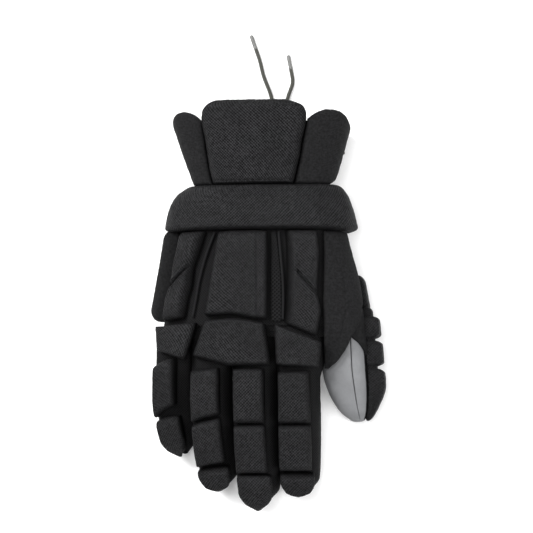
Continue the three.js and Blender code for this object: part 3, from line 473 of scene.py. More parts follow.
def pad_mesh(
    name, level, edges, counts, seed, corner=0.05, crown=0.03, dent=None, fold=0.22, lean=0.02,
    wall=0.42, folds_length=26, lit=0.0,
):
    """A soft pad over the square of (s, t). The heights of its lines, Hi across and Hj along, join
    as H = 1 - ((1 - Hi)^p + (1 - Hj)^p)^(1/p), and level(s, t, H) gives the place. Corners are
    drawn in, the middle is crowned, dent(x, y) lowers it along creases, and folds and puckers move
    it outwards. lit is the least rise on its outside, for pads whose sides are not in the dark."""
    low, high, start, end = edges
    s, hs = edge_lines(low, high, counts[0], wall, lean)
    t, ht = edge_lines(start, end, counts[1], wall, lean)
    hs, ht = hs[:, None], ht[None, :]
    s, t = np.meshgrid(s, t, indexing="ij")
    away = np.abs(1 - hs) ** EDGE_POWER + np.abs(1 - ht) ** EDGE_POWER
    height = np.clip(1 - away ** (1 / EDGE_POWER), 0, 1)

    def drawn(a, b):
        return 0.5 + (a - 0.5) * (1 - corner * np.abs(2 * b - 1) ** 6)

    def placed(a, b, h):
        return level(drawn(a, b), drawn(b, a), h)

    bulge = (1 - (2 * s - 1) ** 2) * (1 - (2 * t - 1) ** 2)
    share = height * (1 + crown * bulge)
    outer = placed(s, t, share)
    if dent is not None:
        lowered = share - dent(outer[..., 0], outer[..., 1]) * smooth(height, 0.5, 1)
        share = np.maximum(lowered, np.minimum(share, 0.02))
        outer = placed(s, t, share)
    normals = grid_normals(outer)
    up = placed(s, t, np.ones_like(s)) - placed(s, t, np.zeros_like(s))
    middle = tuple(n // 2 for n in s.shape)
    if dot(normals[middle], up[middle]) < 0:
        normals = -normals
    uv = grid_uv(outer)
    seam = np.exp(-(((height - 0.5) / 0.3) ** 2))
    pucker = seam * np.sin(2 * np.pi * (uv[..., 0] + uv[..., 1]) / PUCKER_LENGTH)
    move = folds(outer, seed, folds_length, fold) + PUCKER_DEPTH * pucker
    outer = outer + normals * (move * smooth(height, 0.02, 0.4))[..., None]
    flat_s, flat_t = np.clip(s, lean, 1 - lean), np.clip(t, lean, 1 - lean)
    under = placed(flat_s, flat_t, np.zeros_like(s))
    flat = height <= 0
    outer = np.where(flat[..., None], under, outer)
    keep = ~(flat[:-1, :-1] & flat[1:, :-1] & flat[1:, 1:] & flat[:-1, 1:])
    sheets = Sheets()
    sheets.add(outer, uv, np.maximum(height, lit), keep)
    sheets.add(under, uv, np.zeros_like(height), keep)
    return sheets.make(name, 0.003)


def crease(*lines):
    """A dent function: for each (x0, y0, x1, y1, depth, width), depth times a bell of the distance
    to the line from (x0, y0) to (x1, y1), less a quarter of it on the lips beside the line."""

    def dent(x, y):
        total = 0
        for x0, y0, x1, y1, depth, width in lines:
            dx, dy = x1 - x0, y1 - y0
            along = np.clip(((x - x0) * dx + (y - y0) * dy) / (dx * dx + dy * dy), 0, 1)
            far = np.hypot(x - x0 - along * dx, y - y0 - along * dy) / width
            total = total + depth * (np.exp(-(far**2)) - 0.25 * np.exp(-((far - 2.6) ** 2)))
        return total

    return dent


# Level functions of the pads


def block_level(tube, spec, thick):
    """A block on a tube: s goes from angle right to angle left, and t along y from from to to. Its
    top is flat across, turned by lean degrees, and follows the tube's crown:
    height = highest skin + seat + thick * share. point draws the corners of its end back, and taper
    thins its end."""
    right, left, start, end = spec["right"], spec["left"], spec["from"], spec["to"]
    slant_from, slant_to = spec.get("slantFrom", 0), spec.get("slantTo", 0)
    seat, back, taper = spec.get("seat", SEAT), spec.get("point", 0), spec.get("taper", 0)
    tilt = math.radians(spec.get("lean", 0))
    upright = np.array([-math.sin(tilt), 0, math.cos(tilt)])
    sideways = np.array([math.cos(tilt), 0, math.sin(tilt)])
    crown = math.radians((right + left) / 2)

    def place(s, t):
        y = lerp(start, end, t) + lerp(slant_from, slant_to, t) * (s - 0.5)
        return np.radians(lerp(right, left, s)), y + back * np.abs(2 * s - 1) ** 1.8 * t**3

    def skin(s, t):
        return tube.point(*place(s, t))

    def inside(s, t):
        return tube.axis(place(s, t)[1])

    def level(s, t, share):
        y = place(s, t)[1]
        centre = tube.point(crown, y)
        slope = np.arctan2(dot(centre - tube.point(crown, y - 0.5), upright), 0.5)
        angles = np.radians(lerp(right, left, np.linspace(0, 1, 9)))
        around = [dot(tube.point(angle, y) - centre, upright) for angle in angles]
        full = thick * np.maximum(share, 0.5) * (1 - taper * smooth(t, 0.3, 1.1))
        high = np.max(around, axis=0) + seat + full
        base = skin(s, t)
        wide = dot(base - centre, sideways) * (1 + 0.7 * np.maximum(np.sin(slope), 0) ** 2)
        top = centre + sideways * wide[..., None] + upright * (high * np.cos(slope))[..., None]
        top = top + stack(0, -high * np.sin(slope), 0)
        under = base + outward(skin, inside, s, t) * seat
        return raised(lerp(under, top, np.clip(2 * share, 0, 1)[..., None]), 0.1)

    return level


def deck_height(x, y):
    """Height of the hand's skin, or of a finger's where it is higher, under a place on the back."""
    low = hand.point(hand.angle_at(x, y), y)[..., 2]
    for finger in fingers:
        s = finger.section(y)
        over = finger.point(finger.angle_at(x, y), y)[..., 2]
        inside = (y < KNUCKLES + 3) & (x > s["left"]) & (x < s["right"])
        low = np.where(inside, np.maximum(low, over), low)
    return low


def deck_level(rungs, thick):
    """A block on the back of the hand over an outline of rungs from side to side: each rung is a
    row of (x, y), and the place is blended between rungs. It rises square to the skin by thick *
    share."""

    def place(s, t):
        at = t * (len(rungs) - 1)
        x = y = 0
        for k, rung in enumerate(rungs):
            points = np.array(rung, float)
            share = np.clip(1 - np.abs(at - k), 0, 1)
            along = s * (len(points) - 1)
            x = x + share * np.interp(along, np.arange(len(points)), points[:, 0])
            y = y + share * np.interp(along, np.arange(len(points)), points[:, 1])
        return x, y

    def skin(s, t):
        x, y = place(s, t)
        return hand.point(hand.angle_at(x, y), y)

    def inside(s, t):
        return hand.axis(place(s, t)[1])

    def level(s, t, share):
        way, base = outward(skin, inside, s, t), skin(s, t)
        top = base + way * (SEAT + thick * np.maximum(share, 0.5))[..., None]
        under = base + way * SEAT
        skin_high = deck_height(under[..., 0], under[..., 1]) + SEAT
        under[..., 2] = np.maximum(under[..., 2], skin_high)
        return lerp(under, top, np.clip(2 * share, 0, 1)[..., None])

    return level


# Materials


class Field:
    """A socket of a material, on which Python's arithmetic adds Math nodes."""

    def __init__(self, finish, socket):
        self.finish = finish
        self.socket = socket

    def _math(self, operation, a, b=None):
        values = {0: a} if b is None else {0: a, 1: b}
        return self.finish.node("ShaderNodeMath", {"operation": operation}, values)

    def __add__(self, other):
        return self._math("ADD", self, other)

    def __radd__(self, other):
        return self._math("ADD", other, self)

    def __sub__(self, other):
        return self._math("SUBTRACT", self, other)

    def __rsub__(self, other):
        return self._math("SUBTRACT", other, self)

    def __mul__(self, other):
        return self._math("MULTIPLY", self, other)

    def __rmul__(self, other):
        return self._math("MULTIPLY", other, self)

    def __pow__(self, other):
        return self._math("POWER", self, other)

    def __abs__(self):
        return self._math("ABSOLUTE", self)

    def sine(self):
        """The sine of it, in radians."""
        return self._math("SINE", self)

    def most(self, other):
        """The larger of both."""
        return self._math("MAXIMUM", self, other)

    def ramp(self, low, high):
        """0 at low, 1 at high, clamped between."""
        values = {"Value": self, "From Min": low, "From Max": high}
        return self.finish.node("ShaderNodeMapRange", {"clamp": True}, values)


class Finish:
    """A material: its Principled node with fixed values set, and helpers that add what varies."""

    def __init__(self, name, roughness, **fixed):
        self.material = bpy.data.materials.new(name)
        self.material.use_nodes = True
        self.tree = self.material.node_tree
        self.shader = next(n for n in self.tree.nodes if n.type == "BSDF_PRINCIPLED")
        self.shader.inputs["Roughness"].default_value = roughness
        for name, value in fixed.items():
            self.shader.inputs[name.replace("_", " ")].default_value = value

    def node(self, kind, settings=None, values=None, output=0):
        """Adds a node, applies its settings first, and then sets or links its inputs."""
        made = self.tree.nodes.new(kind)
        for name, value in (settings or {}).items():
            setattr(made, name, value)
        for name, value in (values or {}).items():
            self._feed(made.inputs[name], value)
        return Field(self, made.outputs[output])

    def _feed(self, socket, value):
        if isinstance(value, Field):
            self.tree.links.new(value.socket, socket)
        elif hasattr(value, "__len__") and len(value) == 3 and len(socket.default_value) == 4:
            socket.default_value = (*value, 1)
        else:
            socket.default_value = value

    def feed(self, name, value):
        """Sets or links an input of the Principled node."""
        self._feed(self.shader.inputs[name], value)

    def place(self):
        """Object coordinates in millimetres."""
        at = self.node("ShaderNodeTexCoord", output="Object")
        return self.node("ShaderNodeVectorMath", {"operation": "SCALE"}, {0: at, "Scale": 1 / MM})

    def cloth_place(self):
        """The two lengths along the cloth in millimetres."""
        at = self.node("ShaderNodeUVMap", {"uv_map": "cloth"})
        parts = self.node("ShaderNodeSeparateXYZ", None, {0: at}).socket.node
        return [Field(self, parts.outputs[k]) * (1 / MM) for k in (0, 1)]

    def noise(self, at, size, detail=3.0, rough=0.55):
        """Noise from 0 to 1 with spots of about size millimetres."""
        values = {"Vector": at, "Scale": 1 / size, "Detail": detail, "Roughness": rough}
        return self.node("ShaderNodeTexNoise", None, values)

    def cells(self, at, size):
        """Distance to the middle of the nearest of cells of about size millimetres."""
        return self.node("ShaderNodeTexVoronoi", None, {"Vector": at, "Scale": 1 / size})

    def attribute(self, name):
        """A point attribute of the mesh."""
        return self.node("ShaderNodeAttribute", {"attribute_name": name}, output="Fac")

    def blend(self, share, low, high):
        """Colour low at share 0 and colour high at share 1."""
        settings = {"data_type": "RGBA", "clamp_factor": True}
        return self.node("ShaderNodeMix", settings, {0: share, 6: low, 7: high}, output=2)

    def bump(self, height, depth):
        """A bump of height 0 to 1 times depth millimetres."""
        values = {"Height": height, "Distance": depth * MM, "Strength": 1.0}
        self.feed("Normal", self.node("ShaderNodeBump", None, values))


def paler(colour, share):
    """The colour scaled by share."""
    return tuple(min(1.0, c * share) for c in colour)


def woven_finish(name, colour, pitch, depth):
    """Pad cloth: diagonal ribs |sin| crossed by threads the other way, paler where both are high as
    a painted highlight on the raised threads, slightly worn and with a painted highlight at the
    shoulders, and with painted shade low on the pad's side."""
    f = Finish(name, 0.6, Specular_IOR_Level=0.06)
    u, v = f.cloth_place()
    at = f.place()
    drift = (f.noise(at, 16, 2) - 0.5) * 0.9
    ribs = abs(((u + v + drift) * (math.pi / pitch)).sine())
    threads = abs(((u - v - drift) * (math.pi / pitch)).sine())
    weave = (0.35 + 0.65 * ribs) * (0.15 + 0.85 * threads)
    grain = f.noise(at, 2.3, 3, 0.7).ramp(0.34, 0.66)
    patch = f.noise(at, 30, 4).ramp(0.3, 0.7)
    fuzz = f.noise(at, 0.8, 2)
    rise = f.attribute("rise")
    # Partly wear, partly painted highlight: the rounded shoulders of the pad are painted lighter in
    # patches
    shoulder = rise.ramp(0.7, 0.97) * (1 - rise.ramp(0.99, 1.0))
    worn = shoulder * f.noise(at, 5, 4).ramp(0.4, 0.75)
    # Painted highlight on the raised threads of the weave, mixed with random grain
    shine = weave.ramp(0.08, 0.72) * 0.9 + grain * 0.7 - 0.42
    cloth = f.blend(shine, paler(colour, 0.0), paler(colour, 3.6))
    cloth = f.blend(patch * 0.35, cloth, paler(colour, 0.7))
    # Wear and painted highlight on the shoulders
    cloth = f.blend(worn * 0.3, cloth, paler(colour, 2.6))
    # Painted shade: the cloth is darkened low on the pad's side and underneath, where the rise is
    # small
    f.feed("Base Color", f.blend(1 - rise.ramp(0.3, 0.96), cloth, paler(colour, 0.22)))
    f.feed("Roughness", 0.42 + 0.15 * fuzz + 0.3 * (1 - weave))
    f.bump(weave * 0.85 + fuzz * 0.2, depth)
    return f.material


def knit_finish(name, colour, pitch):
    """Smooth panel cloth: small rows of loops, slightly uneven, with soft lint."""
    f = Finish(name, 0.7, Specular_IOR_Level=0.12)
    u, v = f.cloth_place()
    rows = abs((v * (math.pi / (pitch * 1.4))).sine())
    loops = abs((u * (math.pi / pitch)).sine()) * rows
    at = f.place()
    lint = f.noise(at, 5, 5)
    speck = f.noise(at, 2.0, 3, 0.7).ramp(0.34, 0.66)
    light = loops * 0.3 + lint * 0.2 + speck * 0.55
    f.feed("Base Color", f.blend(light, paler(colour, 0.1), paler(colour, 2.1)))
    f.feed("Roughness", 0.7 + 0.2 * lint)
    f.bump(loops * 0.7 + lint * 0.5, 0.22)
    return f.material


def mesh_finish(name, colour, pitch, depth, shine):
    """Open mesh cloth: holes between crossing diagonal threads, dark inside."""
    f = Finish(name, 0.6, Specular_IOR_Level=0.1)
    u, v = f.cloth_place()
    wobble = (f.noise(f.place(), 9, 2) - 0.5) * 0.5
    one = abs(((u + v + wobble) * (math.pi / pitch)).sine())
    two = abs(((u - v + wobble) * (math.pi / pitch)).sine())
    threads = one.most(two).ramp(0.68, 0.96)
    f.feed("Base Color", f.blend(threads, paler(colour, 0.1), paler(colour, 1.7 * shine)))
    f.feed("Roughness", 0.85 - 0.2 * threads)
    f.bump(threads, depth)
    return f.material


def leather_finish(name, colour):
    """Synthetic leather: fine grain cells, soft mottling and darker rubbed areas."""
    f = Finish(name, 0.55, Specular_IOR_Level=0.4)
    at = f.place()
    grain = f.cells(at, 1.1).ramp(0.0, 0.7)
    fine = f.noise(at, 0.6, 3)
    mottle = f.noise(at, 14, 5, 0.6).ramp(0.3, 0.72)
    rubbed = f.noise(at, 40, 3).ramp(0.55, 0.8)
    base = f.blend(mottle, paler(colour, 0.86), paler(colour, 1.1))
    f.feed("Base Color", f.blend(rubbed * 0.35, base, paler(colour, 0.78)))
    f.feed("Roughness", 0.5 + 0.2 * grain + 0.08 * mottle)
    f.bump(grain * 0.55 + fine * 0.45, 0.12)
    return f.material


def tape_finish(name, colour):
    """Binding tape: close cross ribs with a softly varied black."""
    f = Finish(name, 0.8, Specular_IOR_Level=0.15)
    u, v = f.cloth_place()
    ribs = abs((u * (math.pi / 0.8)).sine()) * 0.7 + abs((v * (math.pi / 1.1)).sine()) * 0.3
    lint = f.noise(f.place(), 3, 4)
    f.feed("Base Color", f.blend(ribs * 0.5 + lint * 0.5, paler(colour, 0.55), paler(colour, 1.7)))
    f.feed("Roughness", 0.7 + 0.2 * lint)
    f.bump(ribs, 0.2)
    return f.material


def braid_finish(name, colour):
    """Braided cord: two sets of strands that cross along it, flecked."""
    f = Finish(name, 0.7, Sheen_Weight=0.2)
    u, v = f.cloth_place()
    around, along = v * (BRAID_STRANDS / CORD_RADIUS), u * (math.pi / BRAID_PITCH)
    strands = abs((around + along).sine()).most(abs((around - along).sine()))
    fleck = f.noise(f.place(), 1.6, 3).ramp(0.45, 0.7)
    base = f.blend(strands**2.0, paler(colour, 0.35), paler(colour, 1.5))
    f.feed("Base Color", f.blend(fleck * 0.4, base, paler(colour, 2.2)))
    f.feed("Roughness", 0.62 + 0.25 * fleck)
    f.bump(strands, 0.35)
    return f.material


def plastic_finish(name, colour, roughness):
    """Moulded plastic: fine spark texture, scuffs and slight unevenness."""
    f = Finish(name, roughness, Specular_IOR_Level=0.5)
    at = f.place()
    spark = f.noise(at, 0.35, 2)
    scuff = f.noise(at, 4, 5).ramp(0.55, 0.75)
    light = scuff * 0.5 + spark * 0.2
    f.feed("Base Color", f.blend(light, paler(colour, 0.85), paler(colour, 1.35)))
    f.feed("Roughness", roughness - 0.06 + 0.16 * scuff + 0.08 * spark)
    f.bump(spark, 0.05)
    return f.material


def metal_finish(name, colour):
    """Black painted metal, worn to brighter metal in small flecks."""
    f = Finish(name, 0.35, Specular_IOR_Level=0.6)
    at = f.place()
    worn = f.noise(at, 1.2, 5).ramp(0.62, 0.7)
    f.feed("Base Color", f.blend(worn, colour, (0.18, 0.17, 0.15)))
    f.feed("Metallic", 0.55 + 0.4 * worn)
    f.feed("Roughness", 0.3 + 0.2 * f.noise(at, 2.5, 3))
    f.bump(worn, 0.05)
    return f.material


def thread_finish(name, colour):
    """Sewing thread: its tone and bump vary with a fine noise."""
    f = Finish(name, 0.7, Specular_IOR_Level=0.1)
    at = f.place()
    parts = f.noise(at, 0.5, 2)
    f.feed("Base Color", f.blend(parts, paler(colour, 0.6), paler(colour, 1.4)))
    f.bump(parts, 0.08)
    return f.material


def floor_finish(name, colour):
    """The floor: almost even, with broad faint patches, and a faint glow that keeps it white."""
    f = Finish(name, 0.65, Specular_IOR_Level=0.2, Emission_Strength=0.16)
    tone = f.noise(f.place(), 180, 3).ramp(0.3, 0.7)
    f.feed("Base Color", f.blend(tone, paler(colour, 0.985), colour))
    return f.material


# Sizes and colours that a user would change


def colour_property(name, description, default):
    """A colour with a picker in the panel."""
    return bpy.props.FloatVectorProperty(
        name=name, description=description, subtype="COLOR", size=3, min=0, max=1, default=default
    )


def length_property(name, description, default):
    """A length in metres that isn't negative."""
    return bpy.props.FloatProperty(
        name=name, description=description, default=default, min=0, unit="LENGTH", precision=5
    )


class GLOVE_PG_sizes(bpy.types.PropertyGroup):
    """Sizes that the panel shows"""

    weave_pitch: length_property(
        "Weave pitch", "Distance between the ribs of the pad cloth, along the cloth", 2.7 * MM
    )
    weave_depth: length_property("Weave depth", "Height of the ribs of the pad cloth", 0.5 * MM)
    fold_depth: length_property(
        "Fold depth", "How far the soft folds of the pads stand out", 0.24 * MM
    )
    stitch_length: length_property("Stitch length", "Length of one visible stitch", 2.6 * MM)
    stitch_gap: length_property("Stitch gap", "Gap between two stitches", 1.0 * MM)
    mesh_pitch: length_property(
        "Mesh pitch", "Distance between the threads of the mesh cloth", 2.3 * MM
    )


class GLOVE_PG_colours(bpy.types.PropertyGroup):
    """Colours that the panel shows"""

    pad: colour_property("Pad cloth", "Woven cloth of the pads", (0.0072, 0.0072, 0.0076))
    panel: colour_property("Panel cloth", "Smooth cloth of cuff and thumb", (0.0066, 0.0066, 0.007))
    mesh: colour_property("Mesh cloth", "Open mesh of lining and vent", (0.0032, 0.0032, 0.0034))
    leather: colour_property("Leather", "Grey leather of the palm", (0.162, 0.165, 0.171))
    binding: colour_property("Binding", "Tape and piping", (0.006, 0.006, 0.0065))
    cord: colour_property("Cord", "Braided drawcord", (0.024, 0.024, 0.018))
    lock: colour_property("Cord lock", "Plastic lock on the drawcord", (0.04, 0.04, 0.042))
    aglet: colour_property("Cord ends", "Plastic ends of the drawcord", (0.14, 0.14, 0.135))
    eyelet: colour_property("Eyelets", "Painted metal eyelets", (0.02, 0.02, 0.018))
    thread: colour_property("Thread", "Dark stitching on the pads", (0.005, 0.005, 0.0052))
    seam_thread: colour_property("Palm thread", "Stitching on the leather", (0.09, 0.092, 0.097))
    floor: colour_property("Floor", "Pale floor under the glove", (0.9, 0.9, 0.9))


def sizes():
    """The sizes that the user has set."""
    return bpy.context.scene.glove_sizes


def finish_for(slot):
    """The material of a slot, made the first time that it is asked for."""
    name = f"glove_{slot}"
    if name in bpy.data.materials:
        return bpy.data.materials[name]
    s = sizes()
    colour_name = "mesh" if slot in ("vent", "patch") else slot
    colour = tuple(getattr(bpy.context.scene.glove_colours, colour_name))
    makers = {
        "pad": lambda: woven_finish(name, colour, s.weave_pitch / MM, s.weave_depth / MM),
        "panel": lambda: knit_finish(name, colour, 0.9),
        "mesh": lambda: mesh_finish(name, colour, s.mesh_pitch / MM, 0.45, 1.8),
        "vent": lambda: mesh_finish(name, colour, 3.4, 0.8, 1.7),
        "patch": lambda: mesh_finish(name, colour, 2.0, 0.4, 4.0),
        "leather": lambda: leather_finish(name, colour),
        "binding": lambda: tape_finish(name, colour),
        "cord": lambda: braid_finish(name, colour),
        "lock": lambda: plastic_finish(name, colour, 0.42),
        "aglet": lambda: plastic_finish(name, colour, 0.5),
        "eyelet": lambda: metal_finish(name, colour),
        "thread": lambda: thread_finish(name, colour),
        "seam_thread": lambda: thread_finish(name, colour),
        "floor": lambda: floor_finish(name, colour),
    }
    return makers[slot]()


def dress(made, slot, nodes=(), finish=None, fill=None):
    """Gives a piece its material, its body and the nodes that it stands for. fill, how full a
    padded piece is, is not used."""
    made.data.materials.clear()
    made.data.materials.append(finish_for(finish or slot))
    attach(made, "root")
    if nodes:
        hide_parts(*nodes)
    return made


def declare_sheet(made, rests_on, wide, long):
    """Checks a stretched sheet of cloth: its flat area, half of the closed mesh's area, must lie
    between 0.32 and 0.999 of wide times long, its sizes laid flat in millimetres."""
    work = bmesh.new()
    shown = made.evaluated_get(bpy.context.evaluated_depsgraph_get())
    work.from_mesh(shown.to_mesh())
    area = sum(face.calc_area() for face in work.faces) / 2
    work.free()
    shown.to_mesh_clear()
    flat = (wide * MM, long * MM)
    share = area / (flat[0] * flat[1])
    if not 0.32 < share < 0.999:
        raise RuntimeError(f"{made.name}: its cloth is {share:.2f} of its flat rectangle")


def carried(path):
    """Unit sides and ups along a path, with the side turned as little as possible on the way."""
    tangent = unit(np.gradient(path, axis=0))
    side = unit(np.cross(tangent[0], (0, 0, 1) if abs(tangent[0][2]) < 0.9 else (0, 1, 0)))
    sides = []
    for way in tangent:
        side = unit(side - way * np.dot(side, way))
        sides.append(side)
    sides = np.array(sides)
    return sides, np.cross(sides, tangent)


def sweep(path, radius, around, relief=None, ends=True):
    """A tube: each point of the path has a ring of radius plus relief(length along, angle). Its
    ends close to points, or without ends the path is a loop, whose last ring is its first."""
    side, up = carried(path)
    turn = np.linspace(0, 2 * np.pi, around + 1)
    along = arc(path)
    radii = radius * np.ones((len(path), len(turn)))
    if relief is not None:
        radii = radii + relief(along[:, None], turn[None])
    ring = side[:, None] * np.cos(turn)[:, None] + up[:, None] * np.sin(turn)[:, None]
    points = path[:, None] + ring * radii[..., None]
    if not ends:
        points[-1] = points[0]
    else:
        closed = [np.broadcast_to(path[k], points[0].shape) for k in (0, -1)]
        points = np.concatenate([closed[0][None], points, closed[1][None]])
        along = np.concatenate([[along[0]], along, [along[-1]]])
    return points, stack(*np.meshgrid(along, turn * radius, indexing="ij"))


def catmull(points, count):
    """A centripetal curve through points: between two of them, a cubic whose end slopes come from
    the neighbours, weighted by the square roots of the distances. Returned at count even steps."""
    p = np.array(points, float)
    p = np.concatenate([[2 * p[0] - p[1]], p, [2 * p[-1] - p[-2]]])
    d = np.sqrt(np.maximum(np.linalg.norm(np.diff(p, axis=0), axis=1), 1e-9))
    n = len(p) - 3
    d0, d1, d2 = d[:n, None], d[1 : n + 1, None], d[2 : n + 2, None]
    p0, p1, p2, p3 = p[:n], p[1 : n + 1], p[2 : n + 2], p[3 : n + 3]
    t1 = ((p1 - p0) / d0 - (p2 - p0) / (d0 + d1) + (p2 - p1) / d1) * d1
    t2 = ((p2 - p1) / d1 - (p3 - p1) / (d1 + d2) + (p3 - p2) / d2) * d1
    t = np.linspace(0, 1, 60, endpoint=False)[:, None, None]
    curve = p1 + t1 * t + (3 * (p2 - p1) - 2 * t1 - t2) * t**2 + (2 * (p1 - p2) + t1 + t2) * t**3
    dense = np.concatenate([curve.transpose(1, 0, 2).reshape(-1, 3), p2[-1:]])
    return spaced(dense, count)


def read_at(values, length, at):
    """Rows of three values that belong to lengths along a path, read at other lengths."""
    return np.stack([np.interp(at, length, values[:, k]) for k in range(3)], -1)


def spaced(path, count):
    """The path at count even steps of its length."""
    length = arc(path)
    return read_at(path, length, np.linspace(0, length[-1], count + 1))


def stitches(name, lines, slot="thread", length=None, gap=None, radius=0.42):
    """Rows of stitches as one mesh. Each stitch is a flattened capsule on the line, lying on the
    surface whose normals come with the line: lines are (path, normals) pairs."""
    length = length or sizes().stitch_length / MM
    gap = gap or sizes().stitch_gap / MM
    turn = np.linspace(0, 2 * np.pi, 7)
    along = np.array([-1, -0.75, 0, 0.75, 1])
    wide = np.array([0, 0.8, 1, 0.8, 0])
    sheets = Sheets()
    for path, normals in lines:
        total = arc(path)
        count = max(int(total[-1] / (length + gap)), 1)
        at = (np.arange(count) + 0.5) * total[-1] / count
        centre = read_at(path, total, at)
        way = unit(read_at(path, total, at + 0.5) - centre)
        up = unit(read_at(normals, total, at))
        side = unit(np.cross(way, up))
        place = centre[:, None, None] + way[:, None, None] * (along * length / 2)[:, None, None]
        for axis, ring in ((side, np.cos(turn)), (up, np.sin(turn) * 0.7)):
            place = place + axis[:, None, None] * (wide[:, None] * ring * radius)[..., None]
        for one in place:
            sheets.add(one)
    made = sheets.make(name, 0.001)
    return dress(made, "binding" if slot == "thread" else "leather", finish=slot)


# Camera


SENSOR = 36


def look(place, target, lens):
    """A camera at place that looks at target with +Y up in the picture."""
    data = bpy.data.cameras.new("camera")
    data.lens = lens
    data.sensor_width = SENSOR
    data.clip_end = 20
    made = bpy.data.objects.new("camera", data)
    made.location = place
    back = (Vector(place) - Vector(target)).normalized()
    right = Vector((0, 1, 0)).cross(back).normalized()
    turn = Matrix((right, back.cross(right), back)).transposed()
    made.rotation_euler = turn.to_euler()
    bpy.context.scene.collection.objects.link(made)
    bpy.context.scene.camera = made


class GLOVE_OT_camera(bpy.types.Operator):
    """Sets the camera above the glove, as in the photograph"""

    bl_idname = "glove.camera"
    bl_label = "Camera"

    def execute(self, context):
        field = 0.468
        away = 2.6
        target = Vector((0.0, 0.033, 0.03))
        tilt_x, tilt_y = math.radians(7.0), math.radians(-5.0)
        up = math.cos(tilt_x) * math.cos(tilt_y)
        offset = Vector((math.sin(tilt_x), math.sin(tilt_y), up))
        look(target + offset * away, target, SENSOR * away / field)
        return {"FINISHED"}


# Drawcord


def flare_places(sign, free_x, edge):
    """Angle and y on the cuff's tube of a place (s, t) on a wing: s from beside the centre pad
    round to the free edge on the palm side, t from the wrist to the wing's end."""

    def place(s, t):
        y = lerp(flare_start(s), column(FLARE_LENGTH_ROWS, "s", "y", s), t)
        edge_x = column(CUFF_PAD_ROWS, "y", edge, np.minimum(y, 160)) + sign * FLARE_SEAM
        start, free = cuff.angle_at(edge_x, y), -cuff.angle_at(free_x, y)
        return lerp(start, free if sign > 0 else 2 * np.pi + free, s), y

    return place


CUFF_START = WRIST + GAP
CUFF_PAD_ROWS = table(
    "y left right",
    (CUFF_START, -43, 25),
    (120, -46.5, 29),
    (145, -50.5, 34),
    (160, -53, 37),
    (168, -52.5, 36.5),
    (173, -49, 32),
    (CUFF_END, -41, 20),
)
FLARE_SEAM = 2.2
FLARE_LENGTH_ROWS = table(
    "s y",
    *((0, 161), (0.05, 165), (0.12, 168), (0.2, 168.8), (0.3, 167.3), (0.38, 164.5)),
    *((0.47, 160), (0.55, 157.5), (0.65, 157), (0.85, 160), (0.95, 157), (1, 149)),
)
EYELET_FROM_EDGE = 0.22
FLARES = {
    "pinky": {"sign": -1, "free_x": -49, "edge": "left", "eyelet_y": 139.9},
    "thumb": {"sign": 1, "free_x": 46, "edge": "right", "eyelet_y": 136.7},
}


def flare_start(s):
    """Where a wing starts along y: at the wrist, and further back on the palm side."""
    return lerp(CUFF_START, 113, smooth(s, 0.5, 0.8))


def flare_surface(name):
    """A wing's inner surface and the cuff's middle line inside it, as functions of (s, t)."""
    f = FLARES[name]
    place = flare_places(f["sign"], f["free_x"], f["edge"])
    return (lambda s, t: cuff.point(*place(s, t))), (lambda s, t: cuff.axis(place(s, t)[1]))


def eyelet_at(name):
    """The middle of a wing's wall at its eyelet, and the wall's outward normal there."""
    surface, inside = flare_surface(name)
    s = np.array(1 - EYELET_FROM_EDGE)
    start, end = flare_start(s), column(FLARE_LENGTH_ROWS, "s", "y", s)
    t = (FLARES[name]["eyelet_y"] - start) / (end - start)
    normal = outward(surface, inside, s, t)
    return surface(s, t) + normal * FLARE / 2, normal


def mouth(name, side):
    """Two points straight out of an eyelet, where a cord starts: side 1 is the outside."""
    middle, normal = eyelet_at(name)
    clear = FLARE / 2 + EYELET["over" if side > 0 else "under"] + EYELET["rim"] + GAP
    return [middle + normal * side * (clear + more) for more in (0, 3.5)]


CORD_FLOOR = CORD_RADIUS + 0.05
LOCK_HOLES = [LOCK["x"] - LOCK["pitch"] / 2, LOCK["x"] + LOCK["pitch"] / 2]
LOCK_Z = LOCK["height"] / 2


def cord_routes():
    """The middle lines of the cord's three stretches: a curve through the points traced over the
    palm view, laid on the surface, smoothed again, and read at steps of 0.7 mm."""
    low, z = CORD_FLOOR, LOCK_Z
    one, two = LOCK_HOLES
    inner = [
        *((-49, 140.5, 16.8), (-38, 140, 12.4), (-2, 138.5, 8.5)),
        *((36, 136.5, 12), (46, 136, 16.6)),
    ]
    pinky = [
        *((-62, 145, low), (-48, 148.5, low), (-30, 151, low), (-12, 150.5, low), (1, 151.5, 3.2)),
        *((one, 154.5, z - 0.3), (one, 156.5, z), (one, 160, z), (one, 168.5, z)),
        *((one - 0.5, 176, low), (0, 190, low), (-6, 206, low), (-9.5, 220, low)),
        (-13, 230.5, low),
    ]
    side = [
        *((57, 141, low), (44, 145.5, low), (30, 149, low), (15.5, 151.2, 3.2)),
        *((two, 154.5, z - 0.3), (two, 156.5, z), (two, 160, z), (two, 168.5, z)),
        *((two + 0.5, 177, low), (16.5, 189, low), (20, 200, low), (18.5, 211.5, low)),
    ]
    routes = {
        "cord_inner": [*mouth("pinky", -1), *inner, *mouth("thumb", -1)[::-1]],
        "cord_lead_pinky": [*mouth("pinky", 1), *pinky],
        "cord_lead_thumb": [*mouth("thumb", 1), *side],
    }
    laid = {}
    for name, points in routes.items():
        curve = catmull(points, 400)
        steps = round(arc(curve)[-1] / CORD_STEP) * 2
        path = raised(spaced(curve, steps), CORD_FLOOR)
        path = catmull(path, 600)
        laid[name] = spaced(path, max(int(arc(path)[-1] / 0.7), 10))
    return laid


